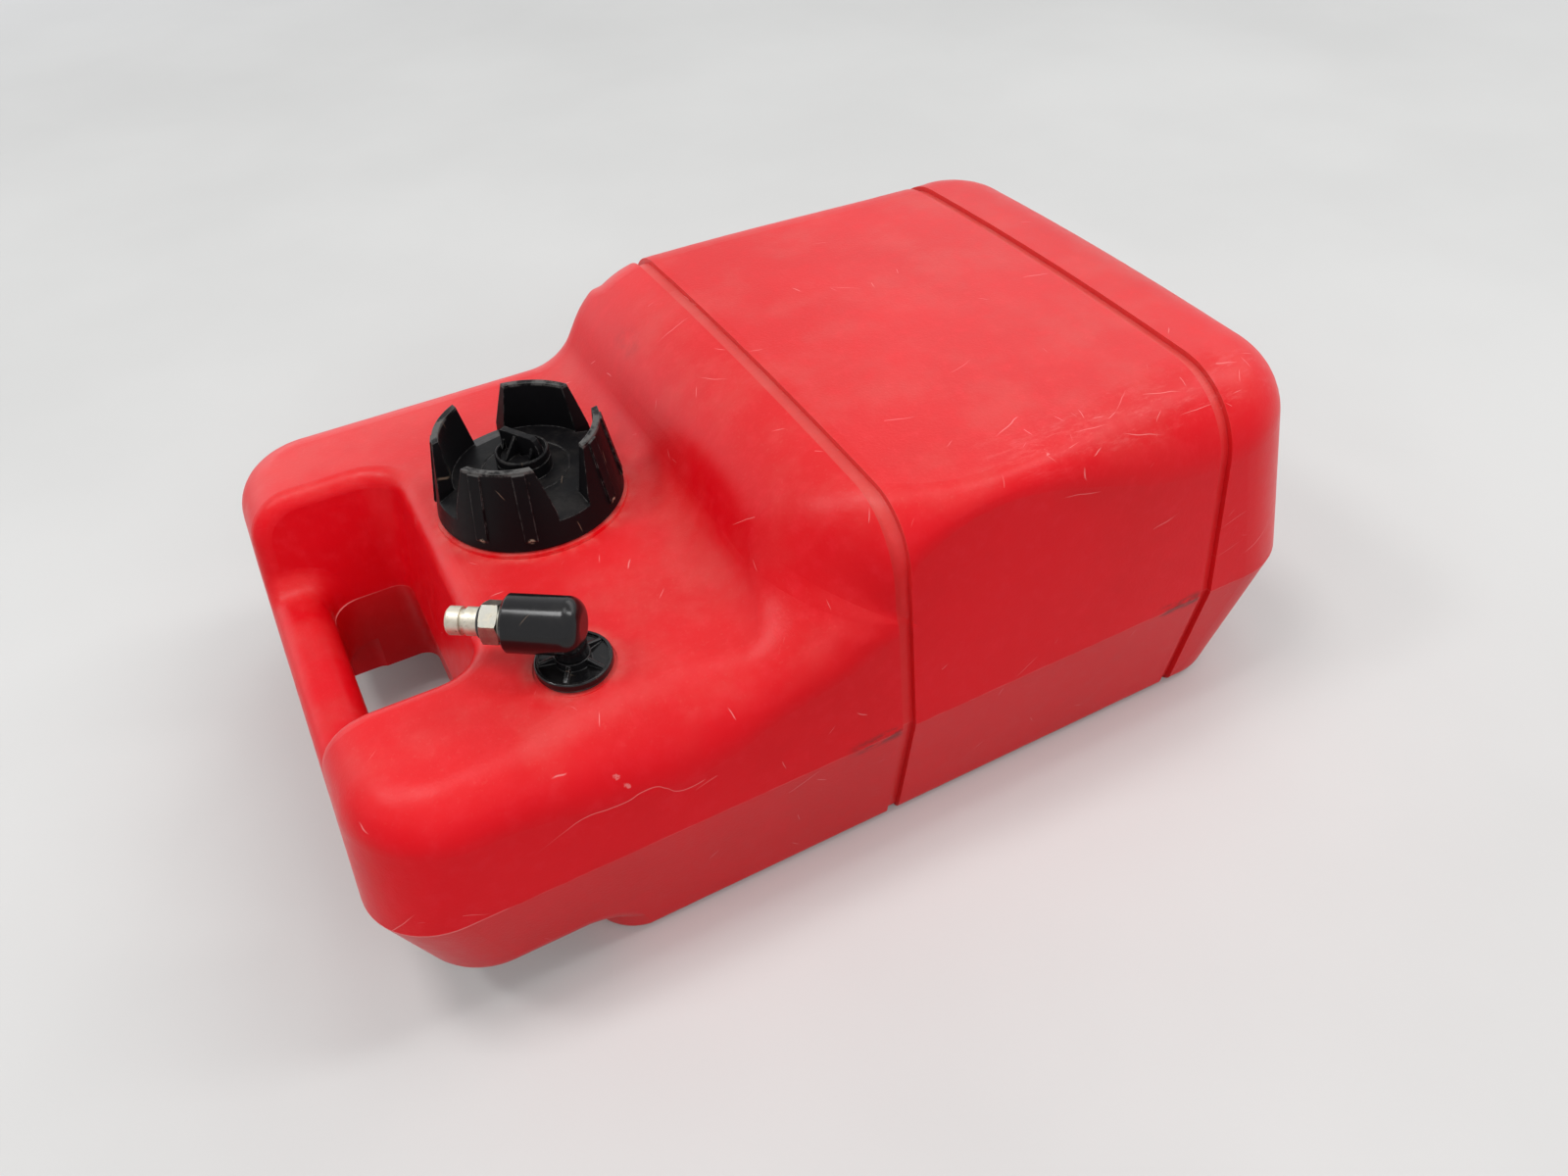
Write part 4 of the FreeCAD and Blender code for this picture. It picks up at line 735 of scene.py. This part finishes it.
def makeStained(name, look):
    material, tree, shader, place = newMaterial(name)
    stains = noise(tree, place, *look["stains"])
    grit = noise(tree, place, *look["grit"])
    colour = mixColour(tree, spread(tree, stains, *look["stainEdges"]), look["base"], look["stain"])
    roughness = spread(tree, stains, *noiseReach, look["roughness"], smooth=False)
    feed(tree, shader, colour, roughness, bump(tree, grit, look["gritHeight"], softBump))
    return material


materials = {
    "tank_plastic": makeTankMaterial(),
    "cap_plastic": makeBlackPlastic("blackCapPlastic", capFinish),
    "fitting_plastic": makeBlackPlastic("blackFittingPlastic", fittingFinish),
    "tube_plastic": makeStained("naturalPlastic", naturalLook),
    "seal_rubber": makeStained("sealRubber", rubberLook),
    "spring_steel": makePlainSteel(),
    "mesh_steel": makeMesh(),
    "plated_brass": makePlatedMetal(),
}

slotOf = {part["node"]: part["material_slot"] for part in frame["record"]["subparts"]}
for nodeName, nodeObject in frame["nodes"].items():
    nodeObject.data.materials.clear()
    nodeObject.data.materials.append(materials[slotOf[nodeName]])
print("materials placed on", len(frame["nodes"]), "nodes")


# the check valve's spring, wound at one length in place of the CAD one; in the valve the poppet presses it
# together

valveSpring = {
    "wire": 0.6 * mm,
    "coil": 5.4 * mm,  # across the wire's middle
    "turns": 4,
    "length": 5.5 * mm,
    "endRoom": 0.05 * mm,  # between the spring and what it stands on, at each end
    "travel": 2.5 * mm,
    "wireSides": 16,
    "stepsPerTurn": 32,
    "smoothBelow": math.radians(50),
}


def windSpring(rise):  # a circle, wound up along Z and closed at both ends
    look = valveSpring
    bpy.ops.object.select_all(action="DESELECT")
    bpy.ops.mesh.primitive_circle_add(vertices=look["wireSides"], radius=look["wire"] / 2,
                                      location=(look["coil"] / 2, 0, 0), rotation=(math.pi / 2, 0, 0))
    spring = bpy.context.object
    spring.name = "pressedValveSpring"
    bpy.ops.object.transform_apply(location=True, rotation=True, scale=True)
    winding = spring.modifiers.new("winding", "SCREW")
    winding.axis = "Z"
    winding.steps = winding.render_steps = look["stepsPerTurn"]
    winding.iterations = look["turns"]
    winding.screw_offset = rise / look["turns"]
    bpy.ops.object.modifier_apply(modifier="winding")
    bpy.ops.object.mode_set(mode="EDIT")
    bpy.ops.mesh.select_all(action="SELECT")
    bpy.ops.mesh.fill_holes(sides=0)
    bpy.ops.mesh.select_all(action="SELECT")
    bpy.ops.mesh.normals_make_consistent(inside=False)
    bpy.ops.object.mode_set(mode="OBJECT")
    return spring


def makeValveSpring():
    look = valveSpring
    low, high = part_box("valve_spring")
    middle = middleOf(low, high)
    rise = look["length"] - look["wire"]
    spring = windSpring(rise)
    spring.matrix_world = (Matrix.Translation(middle - heading * rise / 2)
                           @ heading.to_track_quat("Z", "Y").to_matrix().to_4x4())
    bpy.ops.object.transform_apply(location=True, rotation=True, scale=True)
    bpy.ops.object.shade_smooth_by_angle(angle=look["smoothBelow"])
    spring.data.materials.append(materials["spring_steel"])
    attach(spring, "elbow")
    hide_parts("valve_spring")
    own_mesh(spring)


makeValveSpring()
print("valve spring wound")


# floor, light and camera

stageLook = {
    "floorSize": 24.0,
    "floorColour": (0.66, 0.66, 0.65, 1),
    "greyerColour": (0.6204, 0.6204, 0.611, 1),
    "patches": (3.0, 4.0),
    "grit": (400.0, 3.0),
    "gritHeight": 0.05 * mm,
    "gritStrength": 0.5,
    "roughness": (0.75, 0.9),
    "specular": 0.1,
    "bounceColour": (0.14, 0.14, 0.136, 1),  # what it throws back on the tank, as a grey floor does
    "fade": (0.9, 2.6),  # it fades into the background with distance, so that no horizon shows
    "worldColour": (0.80, 0.81, 0.83, 1),
    "worldStrength": (0.36, 1.0),  # as a light, and as the background
}

lamps = {  # place, aim, width and height, power, and whether surfaces mirror it
    "frontLamp": ((-2.4, -0.4, 0.9), (-0.1, 0.0, 0.1), (2.0, 1.2), 9.0, False),
    "ceilingLamp": ((-0.52, 0.12, 2.08), (-0.1, 0.0, 0.1), (0.55, 0.45), 10.8, True),
    "secondCeilingLamp": ((0.40, 0.10, 2.05), (0.0, 0.0, 0.1), (0.7, 0.5), 3.2, True),
    "nearLamp": ((0.05, -2.3, 1.3), (0.0, 0.0, 0.1), (3.8, 1.9), 38.0, False),
    "leftLamp": ((-1.36, 0.36, 1.92), (-0.1, 0.0, 0.1), (0.35, 0.35), 8.0, True),
    "rightLamp": ((1.3, -0.5, 1.95), (0.1, -0.1, 0.15), (0.35, 1.2), 11.2, True),
    "rearLamp": ((1.75, 0.75, 1.5), (0.1, 0.0, 0.1), (2.8, 0.8), 10.5, True),
    "wallLamp": ((-0.9, 2.3, 0.8), (-0.1, 0.0, 0.15), (2.8, 1.3), 12.0, True),
}

viewCamera = {
    "place": (-0.18014, -0.39492, 0.42600),
    "yaw": math.radians(25.84),
    "pitch": math.radians(42.0),
    "roll": math.radians(-3.37),
    "lens": 27.26,
    "sensorWidth": 36.0,
    "nearest": 0.01,
}


def backgroundRays(tree):  # 1 for rays that find the pale background: seen, mirrored or let through
    rays = addNode(tree, "LightPath").outputs
    return doMath(tree, "MAXIMUM", rays["Is Camera Ray"], rays["Is Glossy Ray"], rays["Is Transmission Ray"])


def makeFloor():
    look = stageLook
    bpy.ops.object.select_all(action="DESELECT")
    bpy.ops.mesh.primitive_plane_add(size=look["floorSize"], location=(0, 0, 0))
    floor = bpy.context.object
    floor.name = "paleFloor"
    material, tree, shader, place = newMaterial("paleFloor")
    patches = spread(tree, noise(tree, place, *look["patches"]), *noiseReach)
    grit = noise(tree, place, *look["grit"])
    pale = backgroundRays(tree)
    far = spread(tree, farFrom(tree, place, (0, 0, 0)), *look["fade"])
    colour = mixColour(tree, patches, look["greyerColour"], look["floorColour"])
    colour = mixColour(tree, far, colour, (0, 0, 0, 1))
    colour = mixColour(tree, pale, look["bounceColour"], colour)
    tree.links.new(doMath(tree, "MULTIPLY", pale, far), shader.inputs["Emission Strength"])
    setOn(shader, {"Emission Color": look["worldColour"], "Specular IOR Level": look["specular"]})
    roughness = spread(tree, grit, *noiseReach, look["roughness"], smooth=False)
    feed(tree, shader, colour, roughness, bump(tree, grit, look["gritHeight"], look["gritStrength"]))
    floor.data.materials.append(material)


def makeWorld():
    look = stageLook
    world = bpy.data.worlds.new("softRoom")
    bpy.context.scene.world = world
    world.use_nodes = True
    tree = world.node_tree
    sky = tree.nodes["Background"]
    sky.inputs["Color"].default_value = look["worldColour"]
    strength = spread(tree, backgroundRays(tree), 0.0, 1.0, look["worldStrength"], smooth=False)
    tree.links.new(strength, sky.inputs["Strength"])


def makeLamp(name, place, aim, size, power, mirrored):
    lamp = bpy.data.lights.new(name, "AREA")
    lamp.shape = "RECTANGLE"
    lamp.size, lamp.size_y = size
    lamp.energy = power
    holder = bpy.data.objects.new(name, lamp)
    bpy.context.scene.collection.objects.link(holder)
    holder.location = place
    holder.rotation_euler = (Vector(aim) - Vector(place)).to_track_quat("-Z", "Y").to_euler()
    holder.visible_camera = False
    holder.visible_glossy = mirrored


def makeCamera():
    look = viewCamera
    data = bpy.data.cameras.new("viewCamera")
    data.lens = look["lens"]
    data.sensor_width = look["sensorWidth"]
    data.clip_start = look["nearest"]
    camera = bpy.data.objects.new("viewCamera", data)
    bpy.context.scene.collection.objects.link(camera)
    camera.matrix_world = (Matrix.Translation(look["place"])
                           @ Matrix.Rotation(-look["yaw"], 4, "Z")
                           @ Matrix.Rotation(math.pi / 2 - look["pitch"], 4, "X")
                           @ Matrix.Rotation(look["roll"], 4, "Z"))
    bpy.context.scene.camera = camera


makeFloor()
makeWorld()
for lampName, lampValues in lamps.items():
    makeLamp(lampName, *lampValues)
makeCamera()
bpy.context.scene.view_settings.view_transform = "Standard"
print("stage, light and camera ready")
